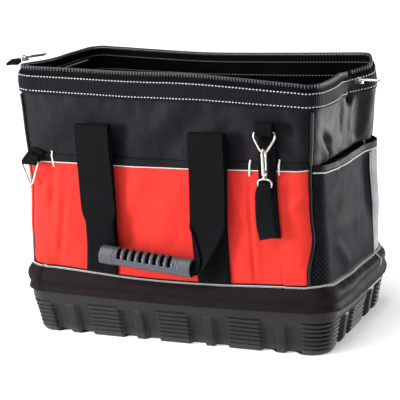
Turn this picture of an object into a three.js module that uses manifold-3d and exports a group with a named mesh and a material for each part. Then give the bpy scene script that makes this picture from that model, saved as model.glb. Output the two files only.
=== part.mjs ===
// Open-top tool bag with a moulded rubber base, two webbing handles with tube
// grips, flat pockets all round, a zip along the mouth, a key keeper with a
// snap hook and a side ring.  Millimetres, +Z up, +X to the right seen from the
// front, the front faces -Y, origin at the middle of the underside.
import * as THREE from 'three';
import { mergeVertices } from 'three/addons/utils/BufferGeometryUtils.js';
import Module from 'manifold-3d';

const wasm = await Module();
wasm.setup();

// ---------------------------------------------------------------- sizes
const CLOTH = 2.0;              // body cloth
const GAP = 0.4;                // clearance between layers
const WEB = 50;                 // handle webbing width
const KEEPER = 25;              // keeper webbing width
const GRIP_LENGTH = 134.2;
const GRIP_RADIUS = 12.8;
const GRIP_BORE = 10.2;
const BASE_FLOOR = 5.0;         // rubber floor thickness
const RELIEF = 4.5;             // blocks and ribs stand proud by this
const PITCH = 105.8;            // block pitch along the front
const BLOCK = 47.8;             // block width on the front
const BLOCK_SIDE = 54;          // block width on the sides
const RIB = 14;                 // rib width
const RECESS = 22;              // recess between rib and block

// body surface: half width, half depth and corner radius at each height, and
// how far each wall bows out (+) or in (-) at its middle
const BODY = [
  // z,   half_w, half_d, corner_r, front, back, right, left
  [5.5,   199.0,  104.0,  20,  0.0, 0.0, 0.0, 0.0],
  [20,    208.5,  111.0,  22,  0.0, 0.0, 0.0, 0.0],
  [45,    217.5,  118.0,  24,  0.0, 0.0, 0.0, 0.0],
  [66,    222.5,  122.0,  26,  0.0, 0.0, 0.0, 0.0],
  [72,    226.0,  125.5,  28,  0.0, 0.0, 0.0, 0.0],
  [88,    227.0,  126.5,  28,  0.5, 0.5, 0.5, 0.5],
  [104,   218.5,  122.0,  25,  1.0, 1.0, 0.0, 0.0],
  [138,   213.0,  119.0,  24,  2.0, 2.0, 0.0, 0.5],
  [180,   208.0,  117.5,  23,  2.5, 2.5,-1.5, 0.5],
  [215,   206.5,  116.5,  23,  2.0, 2.0,-2.0, 0.0],
  [250,   207.0,  115.5,  23,  1.0, 1.0,-3.0,-1.0],
  [300,   210.0,  112.5,  24, -1.5,-1.0,-6.0,-3.0],
  [334,   214.0,  111.0,  25, -1.0,-1.0,-9.0,-3.0],
  [352,   214.5,  110.5,  25,  0.0, 0.0,-10.,-2.0],
  [368,   213.5,  110.0,  25,  0.0, 0.0,-10.,-2.0],
];
// how far the hems and the rim lie above (+) or below (-) their level round
// the bag
const LIFT = [
  // z,  front_l, front, front_r, right, right_rear, back_r, back, back_l, left
  [0,      0,   0,   0,   0,   0,   0,   0,   0,   0],
  [20,     0,   0,   0,   0,   0,   0,   0,   0,   0],
  [66,     0,   0,   0,   0,   0,   0,   0,   0,   0],
  [104,   -2, -15,  -6, -17, -21, -14, -13,  -2, -12],
  [180,    1,  -5,   0,  -8, -10,  -6,  -5,   1,  -4],
  [250,    0,  -2,   2,  -5,  -8,  -6,  -2,   0,  -3],
  [300,    5,   0,  -4,  -7, -10,  -4,  -2,   2,   1],
  [334, 11.5, 2.5,-6.5, -10, -15,  -4,  -4,   3,   4],
  [352,   11, 3.8,-8.4, -12,-18.5, -4,-5.4, 3.8, 5.4],
  [368, 10.5,   3, -12,-13.5,-20,  -4,  -6,   4,   6],
];
// how far the front left and the rear right corner lean outwards
const FLARE = [
  // z,  front_left, rear_right
  [104,   0,    0],
  [138,   3,    4.5],
  [180,   5,    8.5],
  [250,   7,    9],
  [300,   9.5,  12.5],
  [334,  12,    13.5],
  [352,  12,    12],
  [368,   6.5,  9],
];
// moulded base: outer face of the blocks
const BASE = [
  // z,  half_w, half_d, corner_r
  [0,    214.0,  118.0,  25],
  [3,    217.5,  120.3,  27],
  [8,    219.5,  121.2,  28],
  [17,   221.0,  122.3,  29],
  [31,   223.8,  124.5,  31],
  [45,   226.8,  127.0,  32],
  [48,   228.2,  127.7,  32],
  [64,   228.8,  128.0,  32],
];

// ---------------------------------------------------------------- helpers
const V = (x, y, z) => new THREE.Vector3(x, y, z);
const lerp = (a, b, t) => a + (b - a) * t;
const smooth = (t) => t * t * (3 - 2 * t);
const DEG = Math.PI / 180;

function rowAt(table, z) {
  if (z <= table[0][0]) return table[0];
  for (let i = 1; i < table.length; i++) {
    if (z <= table[i][0]) {
      const a = table[i - 1], b = table[i], t = (z - a[0]) / (b[0] - a[0]);
      return a.map((v, k) => lerp(v, b[k], t));
    }
  }
  return table[table.length - 1];
}
// every height at which a table bends, between two heights
function levels(z0, z1) {
  const keys = [...BODY, ...LIFT].map((r) => r[0]).filter((z) => z > z0 + 1.5 && z < z1 - 1.5);
  return [z0, ...[...new Set(keys)].sort((a, b) => a - b), z1];
}

// stations round the bag, counted from the left end of the front wall
const N_FRONT = 12, N_SIDE = 6, N_CORNER = 4;
const STATIONS = [];
function addWall(name, n) { for (let i = 0; i < n; i++) STATIONS.push({ wall: name, t: i / n }); }
addWall('front', N_FRONT); addWall('cfr', N_CORNER);
addWall('right', N_SIDE); addWall('cbr', N_CORNER);
addWall('back', N_FRONT); addWall('cbl', N_CORNER);
addWall('left', N_SIDE); addWall('cfl', N_CORNER);
const NS = STATIONS.length;
const START = { front: 0, cfr: 12, right: 16, cbr: 22, back: 26, cbl: 38, left: 42, cfl: 48 };
const COUNT = { front: 12, cfr: 4, right: 6, cbr: 4, back: 12, cbl: 4, left: 6, cfl: 4 };
// station number of a place on a wall, t from 0 to 1
const at = (wall, t) => START[wall] + t * COUNT[wall];

const LIFT_AT = [  // station number of each column of LIFT
  at('cfl', 0.5) - NS, at('front', 0.5), at('cfr', 0.5), at('right', 0.42), at('right', 0.78),
  at('cbr', 0.5), at('back', 0.5), at('cbl', 0.5), at('left', 0.5), at('cfl', 0.5),
];
function liftAt(i, z) {
  const row = rowAt(LIFT, z).slice(1); row.push(row[0]);
  let s = i; if (s > LIFT_AT[LIFT_AT.length - 1]) s -= NS;
  for (let k = 1; k < LIFT_AT.length; k++) {
    if (s <= LIFT_AT[k]) return lerp(row[k - 1], row[k], smooth((s - LIFT_AT[k - 1]) / (LIFT_AT[k] - LIFT_AT[k - 1])));
  }
  return row[0];
}
const BOW = { front: 4, back: 5, right: 6, left: 7 };
// the right wall folds in most behind its middle, the others at their middle
const bowShape = (wall, t) => wall === 'right'
  ? Math.pow(Math.sin(Math.PI * Math.pow(t, 1.9)), 2) : Math.pow(Math.sin(Math.PI * t), 2);

function station(i, z, off) {
  const st = STATIONS[((i % NS) + NS) % NS], row = rowAt(BODY, z);
  const w = row[1] + off, d = row[2] + off, r = row[3] + off, t = st.t;
  const ex = row[1] - row[3], ey = row[2] - row[3];
  const bow = BOW[st.wall] ? row[BOW[st.wall]] * bowShape(st.wall, t) : 0;
  let x, y, a;
  switch (st.wall) {
    case 'front': x = lerp(-ex, ex, t); y = -(d + bow); break;
    case 'right': y = lerp(-ey, ey, t); x = w + bow; break;
    case 'back': x = lerp(ex, -ex, t); y = d + bow; break;
    case 'left': y = lerp(ey, -ey, t); x = -(w + bow); break;
    case 'cfr': a = lerp(-90, 0, t) * DEG; x = ex + r * Math.cos(a); y = -ey + r * Math.sin(a); break;
    case 'cbr': a = lerp(0, 90, t) * DEG; x = ex + r * Math.cos(a); y = ey + r * Math.sin(a); break;
    case 'cbl': a = lerp(90, 180, t) * DEG; x = -ex + r * Math.cos(a); y = ey + r * Math.sin(a); break;
    default: a = lerp(180, 270, t) * DEG; x = -ex + r * Math.cos(a); y = -ey + r * Math.sin(a);
  }
  const s = ((i % NS) + NS) % NS, ease = (v) => smooth(Math.min(1, Math.max(0, v)));
  const flare = rowAt(FLARE, Math.max(z, 104));
  const leftShare = s >= 44 ? ease((s - 46.2) / 1.8) : 1 - ease(s / 2.6);
  const rightShare = s < 24 ? ease((s - 20.8) / 1.2) : 1 - ease((s - 26) / 3);
  x += flare[2] * rightShare - flare[1] * leftShare;
  return V(x, y, z + liftAt(s, z));
}
// a point on the wall between stations, off mm outside the body cloth
function wall(s, z, off = 0) {
  const i = Math.floor(s), f = s - i;
  const a = station(i, z, off);
  return f < 1e-9 ? a : a.lerp(station(i + 1, z, off), f);
}
// station number of x on the front or back wall, or of y on a side wall
function stationOf(side, v, z = 200) {
  const row = rowAt(BODY, z), e = (side === 'front' || side === 'back') ? row[1] - row[3] : row[2] - row[3];
  const t = (side === 'front' || side === 'right') ? (v + e) / (2 * e) : (e - v) / (2 * e);
  return at(side, t);
}
function span(s0, s1) {
  const out = [s0];
  for (let i = Math.floor(s0) + 1; i < s1; i++) if (i > s0 + 0.12 && i < s1 - 0.12) out.push(i);
  out.push(s1);
  return out;
}

// ---------------------------------------------------------------- solids
function finish(pos, tri) {
  let g = new THREE.BufferGeometry();
  g.setAttribute('position', new THREE.BufferAttribute(new Float32Array(pos), 3));
  g.setIndex(tri);
  g = mergeVertices(g, 1e-4);
  const p = g.attributes.position, idx = g.index.array;
  const keep = [];
  let vol = 0;
  const a = V(0, 0, 0), b = V(0, 0, 0), c = V(0, 0, 0);
  for (let i = 0; i < idx.length; i += 3) {
    if (idx[i] === idx[i + 1] || idx[i + 1] === idx[i + 2] || idx[i] === idx[i + 2]) continue;
    a.fromBufferAttribute(p, idx[i]); b.fromBufferAttribute(p, idx[i + 1]); c.fromBufferAttribute(p, idx[i + 2]);
    vol += a.dot(b.clone().cross(c));
    keep.push(idx[i], idx[i + 1], idx[i + 2]);
  }
  if (vol < 0) for (let i = 0; i < keep.length; i += 3) { const k = keep[i]; keep[i] = keep[i + 1]; keep[i + 1] = k; }
  g.setIndex(keep);
  g.computeVertexNormals();
  return g;
}
// a wall between two grids of points, closed along its rims
function slab(outer, inner, wrap = false) {
  const m = outer.length, n = outer[0].length, pos = [], tri = [];
  const put = (p) => { pos.push(p.x, p.y, p.z); return pos.length / 3 - 1; };
  const O = outer.map((r) => r.map(put)), I = inner.map((r) => r.map(put));
  const quad = (p, q, r, s) => tri.push(p, q, r, p, r, s);
  const last = wrap ? m : m - 1;
  for (let i = 0; i < last; i++) {
    const k = (i + 1) % m;
    for (let j = 0; j < n - 1; j++) {
      quad(O[i][j], O[k][j], O[k][j + 1], O[i][j + 1]);
      quad(I[k][j], I[i][j], I[i][j + 1], I[k][j + 1]);
    }
    quad(I[i][0], I[k][0], O[k][0], O[i][0]);
    quad(O[i][n - 1], O[k][n - 1], I[k][n - 1], I[i][n - 1]);
  }
  if (!wrap) {
    for (let j = 0; j < n - 1; j++) {
      quad(I[0][j], O[0][j], O[0][j + 1], I[0][j + 1]);
      quad(O[m - 1][j], I[m - 1][j], I[m - 1][j + 1], O[m - 1][j + 1]);
    }
  }
  return finish(pos, tri);
}
// a tub: outer and inner walls joined at the top, each closed by a floor
function tub(outer, inner) {
  const m = outer.length, pos = [], tri = [];
  const put = (p) => { pos.push(p.x, p.y, p.z); return pos.length / 3 - 1; };
  const O = outer.map((r) => r.map(put)), I = inner.map((r) => r.map(put));
  const quad = (p, q, r, s) => tri.push(p, q, r, p, r, s);
  for (let i = 0; i < m; i++) {
    const k = (i + 1) % m;
    for (let j = 0; j < outer[0].length - 1; j++) quad(O[i][j], O[k][j], O[k][j + 1], O[i][j + 1]);
    for (let j = 0; j < inner[0].length - 1; j++) quad(I[k][j], I[i][j], I[i][j + 1], I[k][j + 1]);
    quad(O[i][O[i].length - 1], O[k][O[k].length - 1], I[k][I[k].length - 1], I[i][I[i].length - 1]);
  }
  const floor = (grid, ids, flip) => {
    const flat = grid.map((r) => new THREE.Vector2(r[0].x, r[0].y));
    const up = THREE.ShapeUtils.isClockWise(flat) ? -1 : 1;
    for (const f of THREE.ShapeUtils.triangulateShape(flat, [])) {
      const t = f.map((k) => ids[k][0]);
      // triangulateShape follows the outline's own sense
      if (flip === (up > 0)) tri.push(t[0], t[2], t[1]); else tri.push(t[0], t[1], t[2]);
    }
  };
  floor(outer, O, true);
  floor(inner, I, false);
  return finish(pos, tri);
}
// a solid through a list of equal section loops, capped at both ends or closed
function loft(rings, closed = false) {
  const n = rings[0].length, pos = [], tri = [];
  const ids = rings.map((r) => r.map((p) => { pos.push(p.x, p.y, p.z); return pos.length / 3 - 1; }));
  const last = closed ? rings.length : rings.length - 1;
  for (let i = 0; i < last; i++) {
    const A = ids[i], B = ids[(i + 1) % rings.length];
    for (let j = 0; j < n; j++) {
      const k = (j + 1) % n;
      tri.push(A[j], A[k], B[k], A[j], B[k], B[j]);
    }
  }
  if (!closed) {
    for (let j = 1; j < n - 1; j++) {
      tri.push(ids[0][0], ids[0][j + 1], ids[0][j]);
      tri.push(ids[rings.length - 1][0], ids[rings.length - 1][j], ids[rings.length - 1][j + 1]);
    }
  }
  return finish(pos, tri);
}
// a panel on the wall from station s0 to s1 and height z0 to z1
function panel(s0, s1, z0, z1, off0, off1, wrap = false) {
  const ss = wrap ? [...Array(NS).keys()] : span(s0, s1), zz = levels(z0, z1);
  const f0 = typeof off0 === 'function' ? off0 : () => off0;
  const f1 = typeof off1 === 'function' ? off1 : () => off1;
  const tOf = (s) => (s - s0) / (s1 - s0);
  return slab(ss.map((s) => zz.map((z) => wall(s, z, f1(tOf(s), z)))),
    ss.map((s) => zz.map((z) => wall(s, z, f0(tOf(s), z)))), wrap);
}
// a flat strip swept along rows of [x, y, z, width, thickness, ax, ay, az],
// a being the direction of its width
function ribbon(rows) {
  const rings = rows.map((r, i) => {
    const p = V(r[0], r[1], r[2]);
    const a = rows[Math.max(0, i - 1)], b = rows[Math.min(rows.length - 1, i + 1)];
    const dir = V(b[0] - a[0], b[1] - a[1], b[2] - a[2]).normalize();
    const w = V(r[5], r[6], r[7]); w.addScaledVector(dir, -w.dot(dir)).normalize();
    const n = dir.clone().cross(w).normalize();
    const c = (u, v) => p.clone().addScaledVector(w, u * r[3] / 2).addScaledVector(n, v * r[4] / 2);
    return [c(-1, -1), c(1, -1), c(1, 1), c(-1, 1)];
  });
  return loft(rings);
}
// a round rod through points, open with flat ends or closed on itself
function rod(pts, radius, sides = 8, closed = false, flat = 1) {
  const n = pts.length;
  const dirs = pts.map((p, i) => {
    const a = closed ? pts[(i + n - 1) % n] : pts[Math.max(0, i - 1)];
    const b = closed ? pts[(i + 1) % n] : pts[Math.min(n - 1, i + 1)];
    return b.clone().sub(a).normalize();
  });
  let up = Math.abs(dirs[0].z) < 0.9 ? V(0, 0, 1) : V(0, 1, 0);
  const rings = pts.map((p, i) => {
    up.addScaledVector(dirs[i], -up.dot(dirs[i])).normalize();
    const side = dirs[i].clone().cross(up);
    const ring = [];
    for (let k = 0; k < sides; k++) {
      const a = 2 * Math.PI * k / sides;
      ring.push(p.clone().addScaledVector(side, Math.cos(a) * radius * flat).addScaledVector(up, Math.sin(a) * radius));
    }
    return ring;
  });
  return loft(rings, closed);
}
function polyArc(points, corner, steps = 3) {   // closed polyline with rounded corners
  const out = [], n = points.length;
  for (let i = 0; i < n; i++) {
    const p = points[i], a = points[(i + n - 1) % n], b = points[(i + 1) % n];
    const u = a.clone().sub(p), v = b.clone().sub(p);
    const cu = Math.min(corner, u.length() * 0.45), cv = Math.min(corner, v.length() * 0.45);
    const s = p.clone().addScaledVector(u.normalize(), cu), e = p.clone().addScaledVector(v.normalize(), cv);
    for (let k = 0; k <= steps; k++) {
      const t = k / steps;
      out.push(s.clone().multiplyScalar((1 - t) * (1 - t)).addScaledVector(p, 2 * t * (1 - t)).addScaledVector(e, t * t));
    }
  }
  return out;
}
function toManifold(geometry) {
  const g = geometry.clone(); g.deleteAttribute('normal'); if (g.attributes.uv) g.deleteAttribute('uv');
  const m = mergeVertices(g, 1e-4);
  const idx = m.index ? m.index.array : [...Array(m.attributes.position.count).keys()];
  return new wasm.Manifold(new wasm.Mesh({ numProp: 3,
    vertProperties: new Float32Array(m.attributes.position.array), triVerts: new Uint32Array(idx) }));
}
function fromManifold(m) {
  const mesh = m.getMesh(), pos = [];
  for (let i = 0; i < mesh.vertProperties.length / mesh.numProp; i++) {
    for (let k = 0; k < 3; k++) pos.push(mesh.vertProperties[i * mesh.numProp + k]);
  }
  const g = new THREE.BufferGeometry();
  g.setAttribute('position', new THREE.BufferAttribute(new Float32Array(pos), 3));
  g.setIndex([...mesh.triVerts]);
  g.computeVertexNormals();
  return g;
}

// ---------------------------------------------------------------- materials
const mat = (color, roughness, metalness = 0) => new THREE.MeshStandardMaterial({ color, roughness, metalness });
const RUBBER = mat(0x4a4a4d, 0.62);
const BLACK_CLOTH = mat(0x2b2a2f, 0.72);
const RED_CLOTH = mat(0xe5322c, 0.74);
const MESH_CLOTH = mat(0x1d1c1f, 0.8);
const WEBBING = mat(0x1b1c20, 0.78);
const WHITE_CORD = mat(0xe9e8e6, 0.6);
const BLACK_CORD = mat(0x161618, 0.7);
const GRIP_PLASTIC = mat(0x62636b, 0.42);
const NICKEL = mat(0xc9c6c0, 0.22, 1);
const ZIP_COIL = mat(0x2a2a2c, 0.45);

const bag = new THREE.Group();
function add(name, geometry, material, group = bag) {
  const mesh = new THREE.Mesh(geometry, material);
  mesh.name = name;
  group.add(mesh);
  return mesh;
}

// ---------------------------------------------------------------- moulded base
// outline of one level: blocks and ribs stand proud, the recesses between them
// run under the bottom edge
function baseLoop(z, relief, off) {
  const row = rowAt(BASE, z), top = rowAt(BASE, 48);
  const w = row[1] + off, d = row[2] + off, r = row[3] + off;
  const kx = row[1] / top[1], ky = row[2] / top[2];
  const ex = row[1] - row[3], ey = row[2] - row[3];
  const draft = 1.2;
  const run = (half, blocks, blockWidth, ribs) => {
    const marks = [];                    // [position, depth]
    const feats = [...blocks.map((c) => [c, blockWidth]), ...ribs.map((c) => [c, RIB])].sort((a, b) => a[0] - b[0]);
    const start = -half, end = half;
    marks.push([start, 0], [start + draft, relief]);
    for (const [c, wd] of feats) marks.push([c - wd / 2 - draft, relief], [c - wd / 2, 0], [c + wd / 2, 0], [c + wd / 2 + draft, relief]);
    marks.push([end - draft, relief], [end, 0]);
    return marks;
  };
  const frontRun = run(1.5 * PITCH + RIB / 2 + RECESS, [-PITCH, 0, PITCH], BLOCK,
    [-1.5 * PITCH, -0.5 * PITCH, 0.5 * PITCH, 1.5 * PITCH]);
  const ribSide = BLOCK_SIDE / 2 + RECESS + RIB / 2;
  const sideRun = run(ribSide + RIB / 2 + RECESS, [0], BLOCK_SIDE, [-ribSide, ribSide]);
  const pts = [], lift = (i) => liftAt(i, z);
  const arc = (cx, cy, a0) => { for (let k = 0; k <= 4; k++) { const a = (a0 + 22.5 * k) * DEG; pts.push([cx + r * Math.cos(a), cy + r * Math.sin(a)]); } };
  for (const [p, q] of frontRun) pts.push([p * kx, -(d - q)]);
  arc(ex, -ey, -90);
  for (const [p, q] of sideRun) pts.push([w - q, p * ky]);
  arc(ex, ey, 0);
  for (const [p, q] of frontRun) pts.push([-p * kx, d - q]);
  arc(-ex, ey, 90);
  for (const [p, q] of sideRun) pts.push([-(w - q), -p * ky]);
  arc(-ex, -ey, 180);
  return pts.map(([x, y]) => {
    // the top of the blocks dips a little along the short sides
    const sy = Math.min(1, Math.abs(y) / 100), side = Math.abs(x) > row[1] - row[3] ? 1 : 0;
    const dip = -5 * side * Math.cos(sy * Math.PI / 2) ** 2;
    const ramp = Math.max(0, 1 - Math.abs(z - 46.5) / 17);
    return V(x, y, z + dip * Math.min(1, ramp * 1.2));
  });
}
{
  const outerZ = BASE.map((r) => r[0]);
  // the plain wall slopes in towards the underside more than the blocks do
  const outerRings = outerZ.map((z) => baseLoop(z, z < 46 ? RELIEF + 3.5 * (1 - z / 46) : 0.02, 0));
  const inset = { 5: 15.0, 20: 10.9, 45: 8.3, 64: 5.2 };
  const innerRings = [5, 20, 45, 64].map((z) => baseLoop(z, 0.02, -inset[z]).map((p) => (z === 5 ? V(p.x, p.y, BASE_FLOOR) : p)));
  const columns = (rings) => rings[0].map((_, i) => rings.map((r) => r[i]));
  add('rubber_base', tub(columns(outerRings), columns(innerRings)), RUBBER);
}

// ---------------------------------------------------------------- body cloth
{
  const zz = levels(5.5, 352);
  const inZ = [5.5 + CLOTH, ...zz.slice(1)];
  const ring = [...Array(NS).keys()];
  add('body_shell', tub(ring.map((i) => zz.map((z) => wall(i, z, 0))), ring.map((i) => inZ.map((z) => wall(i, z, -CLOTH)))), BLACK_CLOTH);
}
// height of the band's lower hem where it hangs over the rubber
const HEM = [62, 58, 62, 51, 48.5, 51, 58, 62, 54];
function hemAt(i) {
  const row = [...HEM, HEM[0]];
  let s = i; if (s > LIFT_AT[LIFT_AT.length - 1]) s -= NS;
  for (let k = 1; k < LIFT_AT.length; k++) {
    if (s <= LIFT_AT[k]) return lerp(row[k - 1], row[k], smooth((s - LIFT_AT[k - 1]) / (LIFT_AT[k] - LIFT_AT[k - 1])));
  }
  return row[0];
}
// a point off mm outside the smooth shoulder of the rubber
function shoulder(i, z, off) {
  const st = STATIONS[i], row = rowAt(BASE, z), ex = row[1] - row[3], ey = row[2] - row[3];
  const w = row[1] + off, d = row[2] + off, r = row[3] + off, t = st.t;
  const arc = (cx, cy, a0) => { const a = (a0 + 90 * t) * DEG; return V(cx + r * Math.cos(a), cy + r * Math.sin(a), z); };
  switch (st.wall) {
    case 'front': return V(lerp(-ex, ex, t), -d, z);
    case 'right': return V(w, lerp(-ey, ey, t), z);
    case 'back': return V(lerp(ex, -ex, t), d, z);
    case 'left': return V(-w, lerp(ey, -ey, t), z);
    case 'cfr': return arc(ex, -ey, -90);
    case 'cbr': return arc(ex, ey, 0);
    case 'cbl': return arc(-ex, ey, 90);
    default: return arc(-ex, -ey, 180);
  }
}
// padded band over the edge of the moulded base
{
  const ring = [...Array(NS).keys()];
  const skirt = (i, off) => [shoulder(i, Math.max(hemAt(i), 49), off), shoulder(i, 64.4, off)];
  const upper = [[72, 1.4, 3.8], [88, 1.2, 3.6], [99.8, 1.2, 3.2]]; // z, inner off, outer off
  add('base_band', slab(ring.map((i) => [...skirt(i, 2.2), ...upper.map((p) => wall(i, p[0], p[2]))]),
    ring.map((i) => [...skirt(i, 0.5), ...upper.map((p) => wall(i, p[0], p[1]))]), true), BLACK_CLOTH);
}
// white piping along the top of the band, one closed cord
{
  const pts = [...Array(NS).keys()].map((i) => wall(i, 103.2, 2.1));
  add('base_piping', rod(pts, 1.0, 5, true), WHITE_CORD);
}

// ---------------------------------------------------------------- pockets
const SEAM = 0.5, SEAM_GAP = 0.30;          // corner seams, in fractions of the corner
const seam = { fl: at('cfl', SEAM), fr: at('cfr', SEAM), br: at('cbr', SEAM), bl: at('cbl', SEAM) };
const P0 = 106.4, PINNED = 247, BOUND = 257;
const front0 = seam.fl - NS + SEAM_GAP, front1 = seam.fr - SEAM_GAP;
const back0 = seam.br + SEAM_GAP, back1 = seam.bl - SEAM_GAP;
const right0 = seam.fr + SEAM_GAP, right1 = seam.br - SEAM_GAP;
const left0 = seam.bl + SEAM_GAP, left1 = seam.fl - SEAM_GAP;

add('front_pocket', panel(front0, front1, P0, PINNED, 0.6, 2.4), RED_CLOTH);
add('front_pocket_binding', panel(front0, front1, PINNED + GAP, BOUND, 0.6, 3.0), BLACK_CLOTH);
add('front_pocket_piping', panel(front0, front1, PINNED - 2.3, PINNED - 0.2, 2.8, 4.4), WHITE_CORD);
add('back_pocket', panel(back0, back1, P0, PINNED, 0.6, 2.4), RED_CLOTH);
add('back_pocket_binding', panel(back0, back1, PINNED + GAP, BOUND, 0.6, 3.0), BLACK_CLOTH);
add('back_pocket_piping', panel(back0, back1, PINNED - 2.3, PINNED - 0.2, 2.8, 4.4), WHITE_CORD);

// side pockets stand away from the wall: the mesh one more than the cloth one
const pouch = (depth) => (t, z) => {
  const up = Math.max(0, Math.min(1, (z - P0) / 60));
  const across = Math.pow(Math.max(0, Math.sin(Math.PI * t)), 0.7);
  return 0.8 + depth * across * Math.pow(up, 0.8);
};
const SIDE_TOP = 243, SIDE_BOUND = 252;
const meshPouch = pouch(12), redPouch = pouch(9);
add('right_pocket_mesh', panel(right0, right1, P0, SIDE_TOP, meshPouch, (t, z) => meshPouch(t, z) + 1.6), MESH_CLOTH);
add('right_pocket_binding', panel(right0, right1, SIDE_TOP + GAP, SIDE_BOUND, (t, z) => meshPouch(t, z) - 0.2, (t, z) => meshPouch(t, z) + 2.4), BLACK_CLOTH);
add('right_pocket_piping', panel(right0, right1, SIDE_TOP - 2.2, SIDE_TOP - 0.2, (t, z) => meshPouch(t, z) + 2.0, (t, z) => meshPouch(t, z) + 3.6), WHITE_CORD);
add('left_pocket', panel(left0, left1, P0, SIDE_TOP, redPouch, (t, z) => redPouch(t, z) + 1.8), RED_CLOTH);
add('left_pocket_binding', panel(left0, left1, SIDE_TOP + GAP, SIDE_BOUND, (t, z) => redPouch(t, z) - 0.2, (t, z) => redPouch(t, z) + 2.4), BLACK_CLOTH);
add('left_pocket_piping', panel(left0, left1, SIDE_TOP - 2.2, SIDE_TOP - 0.2, (t, z) => redPouch(t, z) + 2.2, (t, z) => redPouch(t, z) + 3.8), WHITE_CORD);

// corded seams at the four corners
for (const [name, s] of Object.entries(seam)) {
  const pts = levels(106, 328).map((z) => wall(s, z, 2.2));
  add('corner_piping_' + name, rod(pts, 1.7, 6), BLACK_CORD);
}

// ---------------------------------------------------------------- rim and zip
add('rim_band', panel(0, 0, 330, 356, 0.5, 2.2, true), WEBBING);
const zipSplitR = at('right', 0.79), zipSplitL = at('cfl', 0.10);
add('zip_tape_front', panel(zipSplitL - NS + 0.12, zipSplitR - 0.12, 352.6, 363.5, -1.6, 0.1), WEBBING);
add('zip_tape_back', panel(zipSplitR + 0.12, zipSplitL - 0.12, 352.6, 363.5, -1.6, 0.1), WEBBING);
add('zip_coil_front', panel(zipSplitL - NS + 0.12, zipSplitR - 0.12, 363.9, 367.6, -2.4, 0.8), ZIP_COIL);
add('zip_coil_back', panel(zipSplitR + 0.12, zipSplitL - 0.12, 363.9, 367.6, -2.4, 0.8), ZIP_COIL);

// sliders: a flat body with a bridge, and a pull that swings on the bridge
const EYE_HIGH = 4.7;                   // height of the pull's pin in the bridge
function sliderBody(len, wide, high) {
  const s = new THREE.Shape();
  s.moveTo(-len / 2, -wide * 0.36); s.lineTo(len * 0.18, -wide / 2); s.lineTo(len / 2, -wide / 2);
  s.lineTo(len / 2, wide / 2); s.lineTo(len * 0.18, wide / 2); s.lineTo(-len / 2, wide * 0.36); s.closePath();
  const plate = new THREE.ExtrudeGeometry(s, { depth: high, bevelEnabled: false });
  const arch = [];
  for (let k = 0; k <= 6; k++) { const a = Math.PI * k / 6; arch.push(V(-Math.cos(a) * len * 0.32, 0, high - 0.4 + Math.sin(a) * 4.6)); }
  const bridge = rod(arch, 0.8, 6);
  return fromManifold(toManifold(plate).add(toManifold(bridge)));
}
// a wire pull: a loop of rod lying along +X from the pin at its end
function wirePull(len, wide, r) {
  const pts = polyArc([V(0, -2.6, 0), V(5.5, -2.6, 0), V(8.5, -wide / 2, 0), V(len, -wide / 2, 0), V(len, wide / 2, 0), V(8.5, wide / 2, 0), V(5.5, 2.6, 0), V(0, 2.6, 0)], 1.6, 2);
  return rod(pts, r, 6, true);
}
function basis(origin, xdir, zdir) {
  const x = xdir.clone().normalize(), z = zdir.clone(); z.addScaledVector(x, -z.dot(x)).normalize();
  return new THREE.Matrix4().makeBasis(x, z.clone().cross(x), z).setPosition(origin);
}
function place(geometry, m) { const g = geometry.clone(); g.applyMatrix4(m); return g; }
const SLIDER = [13, 9, 3.2];            // length, width, thickness
// left end: the slider lies on the rim just behind the front corner, its pull
// points back along the rim and the folded end of the tapes sticks out
const LEFT_SLIDER = V(-215.6, -91.5, 380.9);
const leftAlong = V(0.50, 0.86, -0.01), leftUp = V(-0.30, 0.10, 0.95);
const leftFrame = basis(LEFT_SLIDER, leftAlong, leftUp);
add('zip_slider_left', place(sliderBody(...SLIDER), leftFrame), NICKEL);
const leftPin = V(0, 0, EYE_HIGH).applyMatrix4(leftFrame);
add('zip_pull_left', place(wirePull(33, 9, 1.0), basis(leftPin, leftAlong, leftUp)), NICKEL);
add('zip_end_tab', ribbon([
  [-222.6, -97.4, 380.9, 26, 2.6, 0.22, 0.95, 0.12],
  [-226.5, -98.0, 380.7, 26, 3.4, 0.22, 0.95, 0.12],
  [-231.0, -98.8, 380.3, 26, 3.8, 0.22, 0.95, 0.12],
  [-235.4, -99.6, 379.9, 25, 3.2, 0.22, 0.95, 0.12],
]), WEBBING);
// right side: the slider sits on the fold of the side wall, its pull points out
const fold = wall(zipSplitR, 349, 4.4);
const rightAlong = V(0.998, -0.05, -0.02), rightUp = V(0.02, 0, 0.998);
const rightFrame = basis(V(fold.x + 4.8, fold.y, 330.8), rightAlong, rightUp);
add('zip_slider_right', place(sliderBody(...SLIDER), rightFrame), NICKEL);
const rightPin = V(0, 0, EYE_HIGH).applyMatrix4(rightFrame);
add('zip_pull_right', place(wirePull(31, 9, 1.0), basis(rightPin, rightAlong, rightUp)), NICKEL);

// ---------------------------------------------------------------- handles
// sewn webbing strips run from the base band to the fold of each handle
const FOLD_Z = 286;                     // height where the webbing leaves the wall
const STRIPS = [
  // name, x of the middle
  ['left', -99.5], ['right', 67.0],
];
const stripOff = [4.8, 6.2];
for (const [name, x] of STRIPS) {
  for (const side of ['front', 'back']) {
    const xx = side === 'front' ? x : -x;
    const a = stationOf(side, side === 'front' ? xx - WEB / 2 : xx + WEB / 2);
    const b = stationOf(side, side === 'front' ? xx + WEB / 2 : xx - WEB / 2);
    add(`strap_${side}_${name}`, panel(a, b, P0 + 0.4, FOLD_Z, stripOff[0], stripOff[1]), WEBBING);
  }
}
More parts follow.
